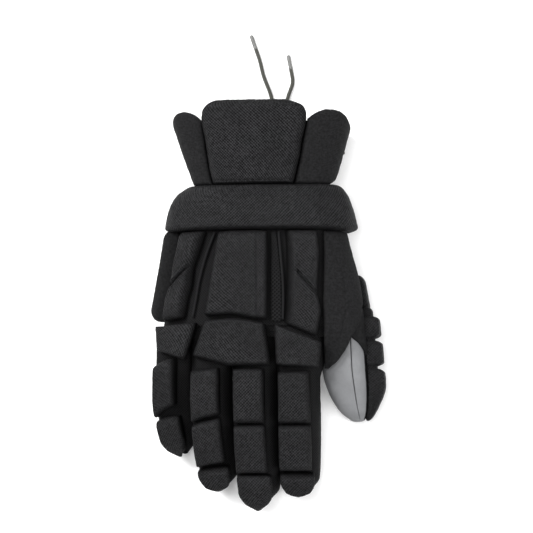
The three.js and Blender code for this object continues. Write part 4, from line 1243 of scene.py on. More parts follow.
def braid(along, turn):
    """Strands of a braid: the higher of two waves that wind round the cord in opposite ways."""
    around, ahead = BRAID_STRANDS * turn, np.pi * along / BRAID_PITCH
    strands = np.maximum(np.abs(np.sin(around + ahead)), np.abs(np.sin(around - ahead)))
    return 0.16 * (strands - 0.8)


def turned_to(points, way):
    """Points whose axis is z, turned so that z points along way."""
    way = unit(np.asarray(way, float))
    side = unit(np.cross((0, 1, 0) if abs(way[1]) < 0.9 else (1, 0, 0), way))
    other = np.cross(way, side)
    return points[..., :1] * side + points[..., 1:2] * other + points[..., 2:] * way


def lathe(profile, around):
    """Points of a profile (radius, height) turned about z."""
    turn = np.linspace(0, 2 * np.pi, around + 1)
    r, h = np.array(profile, float).T[..., None]
    return stack(r * np.cos(turn), r * np.sin(turn), h * np.ones_like(turn))


def make_lock():
    """A flat barrel: a rounded box section carried along y, drawn in by the shares draw at the
    places along, with two round holes cut through and its edges bevelled."""
    x, y, wide = LOCK["x"], LOCK["y"] + 1, LOCK["width"] / 2
    high, long = LOCK["height"] / 2, LOCK["length"] / 2
    turn = np.linspace(0, 2 * np.pi, 65)
    along = np.array([-1, -1, -0.93, -0.8, -0.5, -0.44, 0.44, 0.5, 0.8, 0.93, 1, 1])
    draw = np.array([0, 0.9, 0.965, 0.99, 0.99, 1, 1, 0.99, 0.99, 0.965, 0.9, 0])
    px = power(np.cos(turn), 0.62) * wide
    pz = power(np.sin(turn), 0.85) * high
    inset = (1 - draw[:, None]) * high
    x_share, z_share = (np.where(draw[:, None] > 0, 1 - inset / half, 0) for half in (wide, high))
    points = stack(x + px * x_share, y + along[:, None] * long + 0 * px, LOCK_Z + pz * z_share)
    made = Sheets().add(points).make("drawcord_lock", 0.001)
    cutters = []
    bore = LOCK["bore"]
    # A round hole that widens a little at both mouths, on past the lock's ends
    profile = [(0, -9), (bore + 0.5, -9), (bore, -4.4), (bore, 4.4), (bore + 0.5, 9), (0, 9)]
    for hole in LOCK_HOLES:
        ring = lathe(profile, 28)
        cutter = Sheets().add(turned_to(ring, (0, 1, 0)) + (hole, y, LOCK_Z)).make("cut", 0.001)
        cut = made.modifiers.new("hole", "BOOLEAN")
        cut.object, cut.solver = cutter, "EXACT"
        cutters.append(cutter)
    bevel = made.modifiers.new("edges", "BEVEL")
    bevel.width, bevel.segments = 0.25 * MM, 2
    bevel.limit_method, bevel.angle_limit = "ANGLE", 0.9
    shown = made.evaluated_get(bpy.context.evaluated_depsgraph_get())
    solid = bpy.data.meshes.new_from_object(shown)
    made.modifiers.clear()
    made.data = solid
    for cutter in cutters:
        bpy.data.objects.remove(cutter)
    solid.shade_smooth()
    solid.set_sharp_from_angle(angle=0.7)
    return dress(made, "lock", ["cord_lock"])


def make_aglet(side, path):
    """A cord end: a tube with a moulded collar at its mouth, three rings and a rounded tip."""
    way = unit(path[-1] - path[-4])
    r, n = AGLET["radius"], AGLET["length"]
    # Heights along the end, and how far each stands out from the plain radius
    collar = ((0, 0), (0.4, 0.12), (2.2, 0.12))
    rings = ((2.5, -0.1), (3.4, -0.1), (3.7, 0.05), (4.7, 0.05), (5, -0.1), (5.9, -0.1))
    tip = ((6.2, 0.05), (n - 1.2, 0.05), (n - 0.4, -0.3), (n, -0.9))
    outer = [(r + out, height) for height, out in (*collar, *rings, *tip)]
    points = lathe([(0, 0), *outer, (0, n)], 24)
    place = turned_to(points, way) + path[-1] + way * GAP
    made = Sheets().add(raised(place, 0.02)).make(f"cord_end_{side}", 0.001)
    made.data.set_sharp_from_angle(angle=0.9)
    return dress(made, "aglet", [f"aglet_{side}"])


class GLOVE_OT_drawcord(bpy.types.Operator):
    """Makes the drawcord's three stretches, its two ends and the lock"""

    bl_idname = "glove.drawcord"
    bl_label = "Drawcord"

    def execute(self, context):
        routes = cord_routes()
        lock = make_lock()
        for node, path in routes.items():
            side = node.rsplit("_", 1)[1]
            lead = node != "cord_inner"
            points, uv = sweep(path, CORD_RADIUS - 0.05, 24, braid)
            made = Sheets().add(raised(points, 0.02), uv).make(f"drawcord_{side}", 0.001)
            dress(made, "cord", [node])
            pieces = [make_aglet(side, path)] if lead else []
            if side == "pinky" and lead:
                pieces.append(lock)
            arc(path)[-1] * MM
        return {"FINISHED"}


# Cloth walls


BACK_FROM, BACK_TO = -25, 205
EDGE_GAP = 1
# Half of a finger is cloth down to this angle, and the leather front begins a little before it
SLEEVE_TO = 226
FRONT_FROM = 222
SLOT_END, SLOT_START = -21, -38
THUMB_END = -101.5
THUMB_CLOTH_TO, THUMB_SEAM = 27, 74


def wall_piece(name, tube, angles, span, thick, counts, seed, deeper=0.0, lowest=0.05):
    """A cloth wall: the tube's skin between two angles and two places along it, moved in by deeper,
    with slight folds, closed by the same surface moved inwards."""
    s, t = np.meshgrid(np.linspace(0, 1, counts[0]), closer(counts[1]), indexing="ij")

    def skin(a, b):
        return tube.point(np.radians(lerp(*angles, a)), lerp(*span, b))

    def inside(a, b):
        return tube.axis(lerp(*span, b))

    normal, outer = outward(skin, inside, s, t), skin(s, t)
    outer = outer - normal * (0.05 + deeper + np.abs(folds(outer, seed, 24, 0.3)))[..., None]
    inner = outer - normal * (thick - CLOTH_LESS)
    return shell(name, raised(outer, lowest), raised(inner, lowest + 0.35))


def lining(name, tube, angles, span, counts, seed, nodes, rests_on, flat, **wall):
    """A wall of mesh cloth, with the nodes that it stands for and its sizes laid flat."""
    made = wall_piece(f"lining_{name}", tube, angles, span, CLOTH, counts, seed, **wall)
    dress(made, "mesh", nodes)
    declare_sheet(made, [rests_on], *flat)


def finger_web(name, one, other):
    """The cloth that closes the corner between two fingers and the hand: x runs half to each side
    of where their tubes meet, and z from the foot to just under the hand's top."""
    y, half, foot, thick = -25.5, 11, 24, 1.4
    middle = (one.point(0.0, y)[0] + other.point(math.pi, y)[0]) / 2
    top = hand.point(np.radians(np.linspace(160, 20, 141)), np.full(141, KNUCKLES))
    x = (middle + half * np.linspace(-1, 1, 16))[:, None] * np.ones(12)
    rise = np.linspace(0, 1, 12)
    z = lerp(foot, np.interp(x, top[:, 0], top[:, 2]) - 2, rise)
    places = [np.stack([x, np.full(x.shape, y + move), z], -1) for move in (0, thick)]
    return shell(name, *places)


def end_cap(name, tube, end, ahead, slot):
    """A dome that closes the end of a digit: rings drawn in to the tube's middle line by cos(a),
    each moved ahead by ahead * sin(a), for a from 0 to a quarter turn, and the same smaller
    inside."""
    turn = np.linspace(0, 2 * np.pi, 49)[None, :]
    a = np.linspace(0, np.pi / 2, 11)[:, None]
    y = np.full_like(turn, end + 0.6)
    axis = tube.axis(y)
    points = axis + (tube.point(turn, y) - axis) * (0.99 * np.cos(a))[..., None]
    outer = raised(points + stack(0, -ahead * np.sin(a), 0 * turn), 0.1)
    inner = axis + (outer - axis) * (0.8, 0.5, 0.8)
    made = Sheets().add(outer).add(inner).add(np.stack([outer[0], inner[0]])).make(name, 0.001)
    return dress(made, slot)


class GLOVE_OT_lining(bpy.types.Operator):
    """Makes the mesh cloth walls of the hand, the four fingers and the thumb"""

    bl_idname = "glove.lining"
    bl_label = "Mesh lining"

    def execute(self, context):
        back = (BACK_FROM, BACK_TO), (WRIST, KNUCKLES), (90, 60)
        lining("back", hand, *back, 3, ["back_liner"], "palm_leather", (262, 128))
        for index, name in enumerate(FINGER_NAMES):
            end = FINGER_ENDS[index]
            sleeve = (180 - SLEEVE_TO, SLEEVE_TO), (FINGER_ROOT, end), (44, 60)
            flat = (108, (FINGER_ROOT - end) * 1.12)
            nodes = [f"sleeve_{name}"]
            lining(name, sleeves[index], *sleeve, 10 + index, nodes, "palm_leather", flat)
        outer = (BACK_FROM - 8, THUMB_CLOTH_TO), (FINGER_ROOT, THUMB_END), (16, 40)
        lining("thumb", thumb, *outer, 20, ["thumb_sleeve"], "thumb_leather", (34, 92))
        for name, tube, angles, span, counts, seed, long, deeper, lowest in (
            ("knuckles", hand, (14, 166), (-12, -30), (60, 8), 22, 20, 2.0, 0.05),
            ("palm", hand, (198, 345), (WRIST - 0.5, 13), (60, 40), 23, 98, LEATHER + 0.7, 2.4),
            ("wrist", cuff, (-14, 194), (98, 112), (60, 8), 24, 16, 0.5, 0.05),
        ):
            wall = {"deeper": deeper, "lowest": lowest}
            lining(name, tube, angles, span, counts, seed, (), "lining_back", (190, long), **wall)
        for index, name in enumerate(FINGER_NAMES[1:]):
            made = finger_web(f"web_{name}", sleeves[index], sleeves[index + 1])
            dress(made, "mesh")
            declare_sheet(made, ["lining_knuckles"], 22, 26)
        for index, name in enumerate(FINGER_NAMES):
            end_cap(f"end_{name}", sleeves[index], FINGER_ENDS[index], 1.6, "mesh")
        end_cap("end_thumb", mitt, THUMB_END, 2.2, "leather")
        return {"FINISHED"}


# Palm leather


SEAM_ROWS = table("y x", (WRIST, 20), (60, 26), (13, 37), (KNUCKLES, 47.5), (-60, 48))


def seam_at(y):
    """x of the seam between the palm's leather and the thumb's."""
    return column(SEAM_ROWS, "y", "x", y)


def palm_edge(y):
    """x of the palm leather's edge on the little finger's side."""
    return hand.point(np.radians(BACK_TO + EDGE_GAP), y)[..., 0]


def hand_skin(x, y):
    """The hand's skin on the palm side, at x and y."""
    return hand.point(2 * np.pi - hand.angle_at(x, y), y)


def palm_strips():
    """Four strips of the palm, one for each finger: flat under the hand, and turning into the
    finger's front between SLOT_END and SLOT_START."""
    root, half = FINGER_LINES["root"], FINGER_LINES["half"]
    edges = (root[:3] + half[:3] + root[1:] - half[1:]) / 2
    ends = np.array([palm_edge(KNUCKLES), seam_at(KNUCKLES)])
    shares = [0, *((edges - ends[0]) / (ends[1] - ends[0])), 1]
    grids = []
    flat = np.linspace(WRIST, SLOT_END, 56)[:-1]
    turning = np.linspace(SLOT_END, SLOT_START, 12)[:-1]
    for index, finger in enumerate(fingers):
        tip = lerp(SLOT_START, FINGER_ENDS[index], closer(44))
        stations = np.concatenate([flat, turning, tip])
        s, y = np.meshgrid(np.linspace(0, 1, 19), stations, indexing="ij")
        across = lerp(shares[index], shares[index + 1], s)
        x = lerp(palm_edge(y), seam_at(y) - EDGE_GAP / 2, across)
        front = finger.point(np.radians(lerp(FRONT_FROM, 540 - FRONT_FROM, s)), y)
        share = smooth(y, SLOT_START, SLOT_END)[..., None]
        grids.append(lerp(front, hand_skin(x, y), share))
    return grids


def leather_piece(name, grids, seed, nodes):
    """Leather from grids that share edges: merged, bent by soft wrinkles that leave the flat part
    just over the floor, then given its thickness inwards."""
    sheets = Sheets()
    for points in grids:
        sheets.add(points)
    made = sheets.make(name, 0.05)
    mesh = made.data
    places, normals = np.empty((2, len(mesh.vertices) * 3))
    mesh.vertices.foreach_get("co", places)
    mesh.vertex_normals.foreach_get("vector", normals)
    places, normals = places.reshape(-1, 3) / MM, normals.reshape(-1, 3)
    if np.mean(normals[:, 2]) > 0:
        mesh.flip_normals()
        normals = -normals
    places = places + normals * folds(places, seed, 34, 0.22)[:, None]
    uneven = 0.12 * np.sin(places[:, :1] / 7) * np.sin(places[:, 1:2] / 9)
    places = raised(places, LEATHER_FLOOR + uneven)
    mesh.vertices.foreach_set("co", (places * MM).reshape(-1).astype(np.float32))
    wall = made.modifiers.new("thickness", "SOLIDIFY")
    wall.thickness, wall.offset, wall.use_even_offset = LEATHER_SHOWN * MM, -1, False
    return dress(made, "leather", nodes)


def thumb_grids():
    """The thumb's leather: a lower grid from the wrist over the mound to the tip, and an upper one
    round the inner side of the thumb, joined along one angle."""
    join, edge = 200, 360 + BACK_FROM - 12

    def mound(s, y):
        far = hand.point(np.radians(360 + BACK_FROM - EDGE_GAP), y)[..., 0]
        return hand_skin(lerp(seam_at(y) + EDGE_GAP / 2, far, s), y)

    def lower(s, y):
        share = 1 - smooth(y, SLOT_START, SLOT_END)
        ahead = mitt.point(np.radians(lerp(join, edge, s)), np.minimum(y, SLOT_END))
        ahead[..., 1] = y
        return lerp(mound(s, y), ahead, share[..., None])

    def upper(s, y):
        pull = lower(np.zeros_like(y), y) - mitt.point(math.radians(join), y)
        around = mitt.point(np.radians(lerp(THUMB_SEAM + 2, join, s)), y)
        return around + pull * smooth(s, 0.3, 1)[..., None]

    tip = lerp(-26, THUMB_END, closer(44))
    far = np.concatenate([[FINGER_ROOT, -23], tip])
    near = np.linspace(WRIST, FINGER_ROOT, 50)[:-1]
    grids = []
    for shape, stations, count in ((upper, far, 30), (lower, np.concatenate([near, far]), 22)):
        s, y = np.meshgrid(np.linspace(0, 1, count), stations, indexing="ij")
        grids.append(shape(s, y))
    return grids


PALM_PATCH = [(-55, 20), (-4, -3), (10, 7), (-13, 73), (-31, 83), (-51, 71)]
THUMB_PATCH = [(43, 23), (54, 20.5), (65, 19), (52, 47), (41, 68), (36, 60)]


def rounded_outline(corners, rounding, count=160):
    """The outline of corners joined by quadratic curves, at count even steps."""
    c = np.array(corners, float)
    before, after = np.roll(c, 1, 0), np.roll(c, -1, 0)

    def near(other):
        return lerp(c, other, (rounding / np.linalg.norm(other - c, axis=1))[:, None])

    a, b = near(before)[:, None], near(after)[:, None]
    t = np.linspace(0, 1, 9)[None, :, None]
    curve = ((1 - t) ** 2 * a + 2 * t * (1 - t) * c[:, None] + t**2 * b).reshape(-1, 2)
    curve = np.concatenate([curve, curve[:1]])
    return spaced(np.concatenate([curve, np.zeros((len(curve), 1))], 1), count)[:, :2]


def palm_normals(points):
    """Outward normals of the palm's skin under places given by x and y."""
    x, y = points[..., 0], points[..., 1]
    along = hand_skin(x + 0.5, y) - hand_skin(x - 0.5, y)
    down = hand_skin(x, y + 0.5) - hand_skin(x, y - 0.5)
    normal = unit(np.cross(along, down))
    return normal * np.where(normal[..., 2] > 0, -1, 1)[..., None]


def on_palm(plan, lift):
    """Places on the outside of the palm's leather, lift millimetres off it."""
    skin = raised(hand_skin(plan[..., 0], plan[..., 1]), LEATHER_FLOOR)
    return skin + palm_normals(plan) * lift


def make_patch(name, corners, rounding, nodes):
    """A mesh patch: rings from the middle of its outline to its edge, on the palm's skin, with a
    second layer inside the leather."""
    outline = rounded_outline(corners, rounding)
    centre = np.mean(outline[:-1], 0)
    share = np.linspace(0, 1, 40)[:, None, None]
    plan = centre + (outline - centre)[None] * share
    puff = 0.3 * (1 - share[..., 0] ** 4)
    outer = raised(on_palm(plan, (0.38 + puff * 0.5)[..., None]), 0.06)
    inner = on_palm(plan, -0.7)
    sheets = Sheets().add(outer, plan - centre).add(inner, plan - centre)
    made = sheets.add(np.stack([outer[-1], inner[-1]])).make(name)
    dress(made, "mesh", nodes, finish="patch")
    size = np.ptp(outline, axis=0)
    declare_sheet(made, ["palm_shell"], size[0] * 1.05, size[1] * 1.05)
    return outline


class GLOVE_OT_palm(bpy.types.Operator):
    """Makes the grey leather of the palm and thumb with its mesh patches and seams"""

    bl_idname = "glove.palm"
    bl_label = "Leather palm"

    def execute(self, context):
        palm = leather_piece("palm_shell", palm_strips(), 31, ["palm_leather"])
        declare_sheet(palm, ["lining_back"], 190, 330)
        side = leather_piece("thumb_shell", thumb_grids(), 32, ["thumb_leather"])
        declare_sheet(side, ["palm_shell"], 110, 225)
        angles, span = (THUMB_CLOTH_TO + 2, THUMB_SEAM), (FINGER_ROOT, THUMB_END)
        strip = wall_piece("thumb_strip", mitt, angles, span, LEATHER, (14, 40), 21)
        dress(strip, "leather", ["thumb_gusset"])
        declare_sheet(strip, ["thumb_shell"], 26, 92)
        rows = []
        for name, corners, rounding, node in (
            ("patch_palm", PALM_PATCH, 8, "palm_patch"),
            ("patch_thumb", THUMB_PATCH, 4.5, "thumb_patch"),
        ):
            outline = make_patch(name, corners, rounding, [node])
            centre = np.mean(outline[:-1], 0)
            rim = raised(on_palm(outline, -0.05), 0.75)
            points, uv = sweep(rim, 0.62, 10, ends=False)
            ring = Sheets().add(points, uv).make(f"{name}_edge", 0.01)
            dress(ring, "leather")
            for out in (2.2, 3.6):
                line = on_palm(outline + unit(outline - centre) * out, 0.1)
                rows.append((raised(line, 0.4), palm_normals(outline)))
        y = np.linspace(WRIST - 4, -16, 140)
        for shift in (-3.0, -1.6, 2.2):
            plan = np.stack([seam_at(y) + shift, y], -1)
            rows.append((raised(on_palm(plan, 0.1), 0.4), palm_normals(plan)))
        stitches("palm_stitching", rows, "seam_thread", length=2.2, gap=0.9, radius=0.32)
        holes = Sheets()
        for index, finger in enumerate(fingers):
            end = FINGER_ENDS[index]
            for share, angle in ((0.3, 262), (0.52, 274), (0.72, 268)):
                place = finger.point(math.radians(angle), np.array(lerp(SLOT_START, end, share)))
                disc = lathe([(0, 0.05), (0.75, 0.04), (0.85, -0.25), (0, -0.3)], 12)
                holes.add(turned_to(disc, (0, 0, -1)) + place + (0, 0, -0.22))
        dress(holes.make("palm_air_holes", 0.001), "binding")
        return {"FINISHED"}


# Pads


# Name, finger, y from and to, angles right and left, slants of both ends, lean, thickness, edges
FINGER_BLOCKS = (
    ("pinky_pad_1", 0, -51, -93, 80, 172, -7, -11, 22, FINGER_PAD - 1, 0.12),
    ("pinky_tip", 0, -98, -129.5, 70, 172, -5, 0, 20, TIP_PAD - 1, 0.2),
    ("ring_pad_1", 1, -57.5, -99.5, 58, 149, -3, -8, 6, FINGER_PAD, 0.12),
    ("ring_pad_2", 1, -102, -138.5, 58, 149, -7, -5, 6, FINGER_PAD, 0.12),
    ("ring_tip", 1, -141, -161.5, 45, 155, -4, 0, 5, TIP_PAD, 0.25),
    ("middle_pad_1", 2, -57.5, -104, 60, 158, 0, 0, 4, FINGER_PAD, 0.12),
    ("middle_pad_2", 2, -105.5, -146, 60, 158, 0, 0, 4, FINGER_PAD, 0.12),
    ("middle_tip", 2, -148, -176, 45, 160, 0, 0, 3, TIP_PAD, 0.2),
    ("index_pad_1", 3, -60, -104, 58, 158, 0, 0, 4, FINGER_PAD, 0.12),
    ("index_pad_2", 3, -105.5, -144, 58, 158, 0, 0, 4, FINGER_PAD, 0.12),
    ("index_tip", 3, -146, -166.5, 45, 160, 0, 0, 3, TIP_PAD, 0.25),
)


def padded_piece(name, slot, nodes, fill, level, edges, counts, finish=None, **shape):
    """A pad with its material and the nodes that it stands for."""
    dress(pad_mesh(name, level, edges, counts, **shape), slot, nodes, finish, fill)


def soft_pad(name, node, level, edges, counts=(20, 24), finish="pad", **shape):
    """A well filled pad, folded as deeply as the user has set."""
    fold = sizes().fold_depth / MM
    padded_piece(name, "pad", [node], 0.8, level, edges, counts, finish, fold=fold, **shape)


class GLOVE_OT_finger_pads(bpy.types.Operator):
    """Makes the padded blocks on the four fingers"""

    bl_idname = "glove.finger_pads"
    bl_label = "Finger pads"

    def execute(self, context):
        for number, row in enumerate(FINGER_BLOCKS):
            node, finger, start, end, right, left, slant_from, slant_to, lean, thick, edge = row
            tip = node.endswith("tip")
            spec = {"from": start, "to": end, "right": right, "left": left, "lean": lean}
            spec |= {"slantFrom": slant_from, "slantTo": slant_to}
            spec |= {"seat": TIP_SEAT, "point": 6} if tip else {"seat": SEAT}
            level = block_level(fingers[finger], spec, thick)
            edges, corner = (0.16, 0.16, edge, edge), 0.07 if tip else 0.03
            soft_pad(f"soft_{node}", node, level, edges, seed=40 + number, corner=corner)
        return {"FINISHED"}


class GLOVE_OT_thumb_pads(bpy.types.Operator):
    """Makes the padded blocks on the outer side of the thumb"""

    bl_idname = "glove.thumb_pads"
    bl_label = "Thumb pads"

    def execute(self, context):
        rows = (
            ("thumb_pad_root", hand, 24, -9.5, -27, 3, 6.5, 0.2, SEAT),
            ("thumb_pad_1", thumb, -12, -31, -30, 26, THUMB_PAD, 0.2, 1),
            ("thumb_pad_2", thumb, -33, -55, -30, 24, THUMB_PAD + 1, 0.16, SEAT),
            ("thumb_tip", thumb, -57, -101, -30, 24, THUMB_PAD + 1.5, 0.1, SEAT),
        )
        for number, (node, tube, start, end, right, left, thick, edge, seat) in enumerate(rows):
            spec = {"from": start, "to": end, "right": right, "left": left, "lean": -90}
            spec |= {"seat": seat, "taper": 0.75 if node == "thumb_tip" else 0}
            level, edges = block_level(tube, spec, thick), (0.16, 0.16, edge, edge)
            soft_pad(f"soft_{node}", node, level, edges, seed=60 + number, lit=0.78)
        core = {"from": -3, "to": -97, "right": -26, "left": 20, "lean": -90, "seat": 0.6}
        level, edges = block_level(thumb, core, 7), (0.2, 0.2, 0.05, 0.12)
        padded_piece("thumb_gap_cloth", "mesh", (), 0.5, level, edges, (14, 60), seed=66)

        def gore(s, t):
            y = lerp(-5, -45, t)
            left = np.interp(-y, (26, 30.5, 36, 44), (80, 72, 50, 26))
            return mitt.point(np.radians(lerp(20, left, s)), y)

        level = layers(gore, lambda s, t: mitt.axis(lerp(-5, -45, t)), 0.3, 2.2)
        padded_piece(
            "thumb_root_cloth", "panel", (), 0.3, level, (0.1, 0.12, 0.1, 0.1), (20, 24),
            corner=0, fold=0.1, seed=67,
        )
        return {"FINISHED"}


# Rungs of the outline and edges, and for the back pads also the creases
KNUCKLE_DECKS = {
    "knuckle_pad_pinky": (
        [[(-92, -21.5), (-58, -17)], [(-92, -41.5), (-68.5, -50)]],
        (0.12, 0.12, 0.1, 0.1),
    ),
    "knuckle_pad_centre": (
        [[(-50.5, -15.5), (-24.5, -13.5), (1, -18)], [(-62, -46.5), (-30.5, -55), (6.5, -55)]],
        (0.08, 0.08, 0.1, 0.1),
    ),
    "knuckle_pad_index": (
        [[(9.5, -18.5), (50.5, -35)], [(11, -55), (48, -57.5)]],
        (0.12, 0.12, 0.1, 0.1),
    ),
}
BACK_DECKS = {
    "back_pad_pinky": (
        [
            [(-71, BAND_EDGE), (-50, BAND_EDGE)],
            [(-74, 46), (-56, 45)],
            [(-77, 30), (-61, 31)],
            [(-79, 14), (-63, 14)],
            [(-83, 4), (-66, 5)],
            [(-86.5, -16.5), (-69, -13.5)],
        ],
        (0.12, 0.34, 0.1, 0.08),
        crease((-61, 33, -68, 32, 0.12, 0.8), (-68, 32, -91, 9, 0.34, 0.85)),
    ),
    "back_pad_centre": (
        [
            [(-38.9, BAND_EDGE), (3.5, BAND_EDGE)],
            [(-51.5, -12), (-27.8, -10.5), (-10, -14), (3.6, -15.5)],
        ],
        (0.06, 0.09, 0.1, 0.06),
        crease((-5.5, 64, -5, -16, 0.12, 0.8)),
    ),
    "back_pad_index": (
        [
            [(18.5, BAND_EDGE), (45, BAND_EDGE)],
            [(19.5, 42), (47.2, 42)],
            [(19.8, 8), (45.8, 8)],
            [(19.5, -6), (49.6, -9)],
            [(17.5, -18.3), (46, -30.5)],
        ],
        (0.3, 0.12, 0.1, 0.08),
        crease((20, 25.5, 30.5, 26.4, 0.2, 0.8), (30.5, 26.4, 50, 4, 0.34, 0.85)),
    ),
}


class GLOVE_OT_knuckle_pads(bpy.types.Operator):
    """Makes the three pads over the knuckles"""

    bl_idname = "glove.knuckle_pads"
    bl_label = "Knuckle pads"

    def execute(self, context):
        for number, (node, (rungs, edges)) in enumerate(KNUCKLE_DECKS.items()):
            level, seed = deck_level(rungs, BACK_PAD), 70 + number
            soft_pad(f"soft_{node}", node, level, edges, (30, 24), seed=seed, corner=0.02)
        return {"FINISHED"}


class GLOVE_OT_back_pads(bpy.types.Operator):
    """Makes the three long pads on the back of the hand"""

    bl_idname = "glove.back_pads"
    bl_label = "Back pads"

    def execute(self, context):
        for number, (node, (rungs, edges, dent)) in enumerate(BACK_DECKS.items()):
            level, shape = deck_level(rungs, BACK_PAD), {"corner": 0.02, "dent": dent}
            soft_pad(f"soft_{node}", node, level, edges, (44, 96), seed=80 + number, **shape)
        return {"FINISHED"}


class GLOVE_OT_roll(bpy.types.Operator):
    """Makes the roll along the little finger's side of the hand"""

    bl_idname = "glove.roll"
    bl_label = "Side roll"

    def execute(self, context):
        spec = {"right": 171, "left": 212, "from": 66, "to": -16, "lean": 80, "seat": 0.7}
        level, edges = block_level(hand, spec, ROLL), (0.24, 0.24, 0.12, 0.12)
        soft_pad("soft_roll", "pinky_roll", level, edges, (16, 50), "panel", seed=90, corner=0.02)
        return {"FINISHED"}


class GLOVE_OT_vent(bpy.types.Operator):
    """Makes the mesh strip between the back pads and the piping beside it"""

    bl_idname = "glove.vent"
    bl_label = "Vent strip and piping"

    def execute(self, context):
        rungs = [[(6, BAND_EDGE), (11, BAND_EDGE)], [(6, 23), (15.2, 23)], [(6, -17), (16.2, -17)]]
        padded_piece(
            "vent_mesh", "mesh", ["vent_strip"], 0.3, deck_level(rungs, 2), (0.2, 0.2, 0.05, 0.05),
            (10, 60), "vent", fold=0.1, seed=95,
        )
        routes = {
            "pinky": [(-43.5, BAND_EDGE - 1), (-52, 40), (-57.6, 19), (-60.5, 2), (-63.2, -12)],
            "index": [(12.8, BAND_EDGE - 1), (14.6, 42), (16.4, 23), (17.1, 5), (16.8, -15)],
        }
        for name, route in routes.items():
            x, y = np.array(route, float).T
            path = catmull(hand.point(hand.angle_at(x, y), y) + (0, 0, 1.9), 90)
            surface, uv = sweep(path, 1.2, 14, lambda a, b: 0.06 * np.sin(2 * np.pi * a / 2.4))
            made = Sheets().add(surface, uv).make(f"soft_piping_{name}", 0.001)
            dress(made, "binding", [f"piping_{name}"])
        return {"FINISHED"}


PANEL_START, PANEL_END = 62.4, -57
PANEL_ROWS = table(
    "y inner outer",
    *((PANEL_START, 51, 3), (40, 51.5, 3), (24, 51.5, 4.5)),
    *((0, 51.5, 9), (-10, 51.8, 15), (KNUCKLES, 52, 22)),
)
PANEL_TIP_ROWS = table(
    "y inner outer",
    *((KNUCKLES, 52, 79.5), (-30, 52, 74.5), (-40, 52, 70), (-50, 52, 63.5), (PANEL_END, 52, 55.5)),
)
# The thumb's height is read no nearer the fingers than x = CREST, eased over CREST_WIDTH
CREST, CREST_WIDTH = 60, 5


def panel_point(s, t):
    """The thumb-side panel: on the hand between an angle and a place across, and past the knuckles
    coming down from the hand's height onto the thumb's."""
    y = lerp(PANEL_START, PANEL_END, t)

    def on_hand(at):
        inner = hand.angle_at(column(PANEL_ROWS, "y", "inner", at), at)
        return hand.point(lerp(np.radians(column(PANEL_ROWS, "y", "outer", at)), inner, s), at)

    near = on_hand(np.maximum(y, KNUCKLES))
    edge = on_hand(np.full_like(y, KNUCKLES))[..., 0]
    inner, outer = PANEL_TIP_ROWS["inner"], PANEL_TIP_ROWS["outer"]
    share = (edge - inner[0]) / (outer[0] - inner[0])
    inner, outer = (column(PANEL_TIP_ROWS, "y", name, y) for name in ("inner", "outer"))
    x = lerp(inner, outer, share)
    high = hand.point(hand.angle_at(x, y), y)[..., 2]
    crest = CREST + CREST_WIDTH * np.log1p(np.exp((x - CREST) / CREST_WIDTH))
    skins = (tube.point(tube.angle_at(crest, y), y)[..., 2] for tube in (thumb, mitt))
    low = np.maximum(*skins) + 0.4
    far = stack(x, y, lerp(high, low, smooth(y, KNUCKLES, -46)))
    return np.where((y >= KNUCKLES)[..., None], near, far)


class GLOVE_OT_side_panel(bpy.types.Operator):
    """Makes the smooth padded panel on the thumb's side of the back"""

    bl_idname = "glove.side_panel"
    bl_label = "Thumb side panel"

    def execute(self, context):
        def inside(s, t):
            return hand.axis(lerp(PANEL_START, PANEL_END, t))

        lift = 0.8
        level = layers(panel_point, inside, lift, lift + SIDE_PANEL)
        lines = ((56, 58, 70, 22), (70, 22, 72, -8), (72, -8, 66, -34))
        padded_piece(
            "soft_side_panel", "panel", ["thumb_side_panel"], 0.5, level, (0.1, 0.1, 0.04, 0.06),
            (40, 90), corner=0.0, dent=crease(*[(*line, 0.1, 0.9) for line in lines]), seed=97,
            fold=0.3, wall=0.5, folds_length=40,
        )
        return {"FINISHED"}


# Band, hem and cuff


BAND_FROM, BAND_TO = WRIST, BAND_EDGE + 0.6
BAND_FLOOR = 0.6
BAND_ROWS = table(
    "y thick",
    *((105, 4.5), (101, 7), (95, 8.5), (85, 9.5), (72, 11), (66, 11), (63, 7.5)),
)


class GLOVE_OT_band(bpy.types.Operator):
    """Makes the padded band over the wrist"""

    bl_idname = "glove.band"
    bl_label = "Wrist band"

    def execute(self, context):
        def band_y(t):
            return lerp(BAND_FROM, BAND_TO, t)

        def surface(s, t):
            return hand.point(np.radians(lerp(BACK_FROM, BACK_TO, s)), band_y(t))

        def thick(s, t):
            swell = 3 * (2 * s - 1) ** 2 * smooth(t, 0.1, 0.8)
            return GAP + column(BAND_ROWS, "y", "thick", np.minimum(band_y(t), 100)) + swell

        level = layers(surface, lambda s, t: hand.axis(band_y(t)), GAP, thick, level_way=True)
        lines = ((-76, 92, -62, 70), (-80, 84, -70, 68), (66, 92, 56, 70), (70, 82, 62, 68))

        def above_floor(s, t, share):
            return raised(level(s, t, share), BAND_FLOOR)

        padded_piece(
            "soft_band", "pad", ["wrist_band"], 0.7, above_floor, (0.02, 0.02, 0.12, 0.1),
            (110, 30), corner=0.0, dent=crease(*[(*line, 0.07, 2.0) for line in lines]), seed=101,
            fold=0.35, wall=0.4, lean=0.004, crown=0.02, folds_length=34,
        )
        return {"FINISHED"}


# The hem's middle along y, where the hand is read under it, and half of its width and height
HEM_Y, HEM_FROM = 107.75, 105.0
HEM_WIDE, HEM_HIGH = 3.2, 1.5


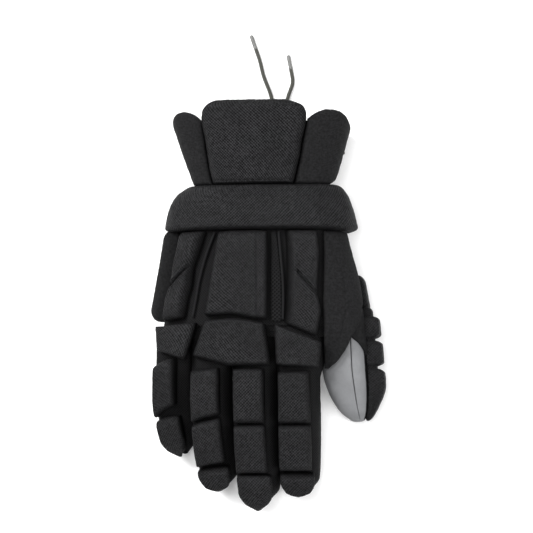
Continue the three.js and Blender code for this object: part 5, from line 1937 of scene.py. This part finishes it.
class GLOVE_OT_hem(bpy.types.Operator):
    """Makes the binding on the wrist edge of the palm"""

    bl_idname = "glove.hem"
    bl_label = "Wrist hem"

    def execute(self, context):
        s = np.linspace(0, 1, 90)
        turn = np.linspace(0, 2 * np.pi, 25)
        angle = np.radians(lerp(BACK_TO + 2, 360 + BACK_FROM - 2, s))
        base = raised(hand.point(angle, np.full_like(s, HEM_FROM)), 0)
        ends = np.minimum(np.minimum(s, 1 - s) / 0.012, 1)[:, None] ** 0.5
        y = HEM_Y + HEM_WIDE * power(np.cos(turn), 0.6) * ends
        z = base[:, 2:] + HEM_HIGH + 0.15 + HEM_HIGH * power(np.sin(turn), 0.6) * ends
        z = z + 0.12 * np.sin(base[:, :1] / 1.6) * np.sin(turn)
        points = stack(base[:, :1] + 0 * turn, y, np.maximum(z, 0.05))
        made = Sheets().add(points).make("soft_hem", 0.01)
        dress(made, "binding", ["wrist_hem"])
        return {"FINISHED"}


def cuff_pad_place(s, t):
    """x and y of a place on the cuff's centre pad."""
    y = lerp(CUFF_START, CUFF_END, t)
    x = lerp(column(CUFF_PAD_ROWS, "y", "right", y), column(CUFF_PAD_ROWS, "y", "left", y), s)
    return x, y


def cuff_lining():
    """Cloth across the cuff's back, just inside its skin, behind the seams between pad and
    wings."""
    places = np.linspace(CUFF_START + 1, 159, 26)
    s, y = np.meshgrid(np.linspace(0, 1, 60), places, indexing="ij")
    left = column(CUFF_PAD_ROWS, "y", "left", y) - 11
    right = column(CUFF_PAD_ROWS, "y", "right", y) + 11
    angle = lerp(cuff.angle_at(right, y), cuff.angle_at(left, y), s)
    skin = cuff.point(angle, y)
    inwards = unit((cuff.axis(y) - skin) * (1, 0, 1))
    return shell("cuff_lining", skin + inwards * 0.25, skin + inwards * 1.0)


class GLOVE_OT_cuff_pad(bpy.types.Operator):
    """Makes the centre pad of the cuff and the seam at its foot"""

    bl_idname = "glove.cuff_pad"
    bl_label = "Cuff centre pad"

    def execute(self, context):
        def surface(s, t):
            x, y = cuff_pad_place(s, t)
            return cuff.point(cuff.angle_at(x, y), y)

        def inside(s, t):
            return cuff.axis(cuff_pad_place(s, t)[1])

        level = layers(surface, inside, GAP, GAP + CUFF_PAD, level_way=True)
        padded_piece(
            "soft_cuff_pad", "pad", ["cuff_pad"], 0.8, level, (0.1, 0.1, 0.03, 0.1), (46, 70),
            corner=0.0, dent=crease((-42, CUFF_SEAM, 25, CUFF_SEAM, 0.1, 0.7)), seed=111,
            fold=0.3, crown=0.05, folds_length=36,
        )
        cloth = cuff_lining()
        dress(cloth, "mesh")
        declare_sheet(cloth, ["cuff_pad"], 126, 60)
        s = np.linspace(0.12, 0.88, 80)
        t = np.full_like(s, (CUFF_SEAM - CUFF_START) / (CUFF_END - CUFF_START))
        line = level(s, t, np.full_like(s, 0.96)) + (0, 0, 0.1)
        stitches("cuff_stitching", [(line, np.tile((0.0, 0.0, 1.0), (len(s), 1)))])
        return {"FINISHED"}


def eyelet_profile():
    """Radius and height round an eyelet: a rounded rim on both sides of the wing and a barrel
    between, the heights counted from the middle of the wing's wall."""
    under, over = -FLARE / 2 - EYELET["under"], FLARE / 2 + EYELET["over"]
    inner, outer, rim = EYELET["inner"], EYELET["outer"], EYELET["rim"]
    barrel = inner + EYELET["wall"]
    # Radius and share of the rim's height, from the bore out to the rim's edge
    rounded = ((inner, 0.75), (inner + 0.5, 1), (outer - 1.2, 0.9), (outer - 0.2, 0.4), (outer, 0))
    below = [(r, under - rim * share) for r, share in rounded]
    above = [(r, over + rim * share) for r, share in rounded[::-1]]
    return [*below, (barrel, under), (barrel, over), *above, below[0]]


class GLOVE_OT_flares(bpy.types.Operator):
    """Makes the cuff's two side wings and their eyelets"""

    bl_idname = "glove.flares"
    bl_label = "Cuff wings and eyelets"

    def execute(self, context):
        for number, name in enumerate(FLARES):
            surface, inside = flare_surface(name)

            def skin(s, t, surface=surface):
                return surface(lerp(-0.01, 1, s), t)

            level = layers(skin, inside, 0, FLARE, level_way=True)
            padded_piece(
                f"soft_wing_{name}", "panel", [f"cuff_flare_{name}"], 0.5, level,
                (0.06, 0.05, 0.04, 0.08), (70, 40), corner=0.0, seed=120 + number,
                fold=0.45, wall=0.6, lean=0.003, crown=0.06, folds_length=44,
            )
            middle, normal = eyelet_at(name)
            points = turned_to(lathe(eyelet_profile(), 40), normal) + middle
            ring = Sheets().add(points).make(f"metal_eyelet_{name}", 0.001)
            ring.data.set_sharp_from_angle(angle=0.8)
            dress(ring, "eyelet", [f"eyelet_{name}"])
        return {"FINISHED"}


# Stage


FLOOR_HALF = 2500
WORLD_STRENGTH = 0.42


class GLOVE_OT_stage(bpy.types.Operator):
    """Makes the pale floor and the soft studio lights"""

    bl_idname = "glove.stage"
    bl_label = "Floor and lights"

    def execute(self, context):
        line = np.linspace(-FLOOR_HALF, FLOOR_HALF, 12)
        x, y = np.meshgrid(line, line, indexing="ij")
        floor = Sheets().add(stack(x, y, 0)).make("floor", 0.001)
        floor.data.materials.append(finish_for("floor"))
        world = bpy.data.worlds.new("studio")
        world.use_nodes = True
        back = world.node_tree.nodes["Background"]
        back.inputs["Color"].default_value = (1, 1, 1, 1)
        back.inputs["Strength"].default_value = WORLD_STRENGTH
        context.scene.world = world
        context.scene.view_settings.view_transform = "Standard"
        # Name, place and size in metres, and power in watts
        lights = (
            ("key", (-1.2, 1.0, 1.6), 0.9, 62),
            ("fill", (1.4, -0.6, 1.4), 1.4, 32),
            ("top", (-0.2, 0.3, 2.0), 1.0, 16),
        )
        for name, place, size, watts in lights:
            data = bpy.data.lights.new(name, "AREA")
            data.shape, data.size, data.energy = "DISK", size, watts
            made = bpy.data.objects.new(name, data)
            made.location = place
            ahead = Vector((0, 0.03, 0)) - Vector(place)
            made.rotation_euler = ahead.to_track_quat("-Z", "Y").to_euler()
            context.scene.collection.objects.link(made)
        return {"FINISHED"}


# Add-on


OPERATORS = (
    GLOVE_OT_camera,
    GLOVE_OT_drawcord,
    GLOVE_OT_lining,
    GLOVE_OT_palm,
    GLOVE_OT_finger_pads,
    GLOVE_OT_thumb_pads,
    GLOVE_OT_knuckle_pads,
    GLOVE_OT_back_pads,
    GLOVE_OT_roll,
    GLOVE_OT_vent,
    GLOVE_OT_side_panel,
    GLOVE_OT_band,
    GLOVE_OT_hem,
    GLOVE_OT_cuff_pad,
    GLOVE_OT_flares,
    GLOVE_OT_stage,
)


class GLOVE_PT_pieces(bpy.types.Panel):
    """Sizes, colours and one button for each group of pieces"""

    bl_label = "Ball hockey glove"
    bl_idname = "GLOVE_PT_pieces"
    bl_space_type = "VIEW_3D"
    bl_region_type = "UI"
    bl_category = "Glove"

    def draw(self, context):
        scene = context.scene
        for group in (scene.glove_sizes, scene.glove_colours):
            box = self.layout.box()
            for name in group.__annotations__:
                box.prop(group, name)
        for operator in OPERATORS:
            self.layout.operator(operator.bl_idname)


CLASSES = (GLOVE_PG_sizes, GLOVE_PG_colours, *OPERATORS, GLOVE_PT_pieces)


def register():
    """Registers the classes and the settings they show."""
    for cls in CLASSES:
        bpy.utils.register_class(cls)
    bpy.types.Scene.glove_sizes = bpy.props.PointerProperty(type=GLOVE_PG_sizes)
    bpy.types.Scene.glove_colours = bpy.props.PointerProperty(type=GLOVE_PG_colours)


def unregister():
    """Takes the settings and classes out again."""
    del bpy.types.Scene.glove_colours
    del bpy.types.Scene.glove_sizes
    for cls in reversed(CLASSES):
        bpy.utils.unregister_class(cls)


def main():
    """Makes every group of pieces."""
    register()
    for operator in OPERATORS:
        group, name = operator.bl_idname.split(".")
        getattr(getattr(bpy.ops, group), name)()


if __name__ == "__main__":
    main()
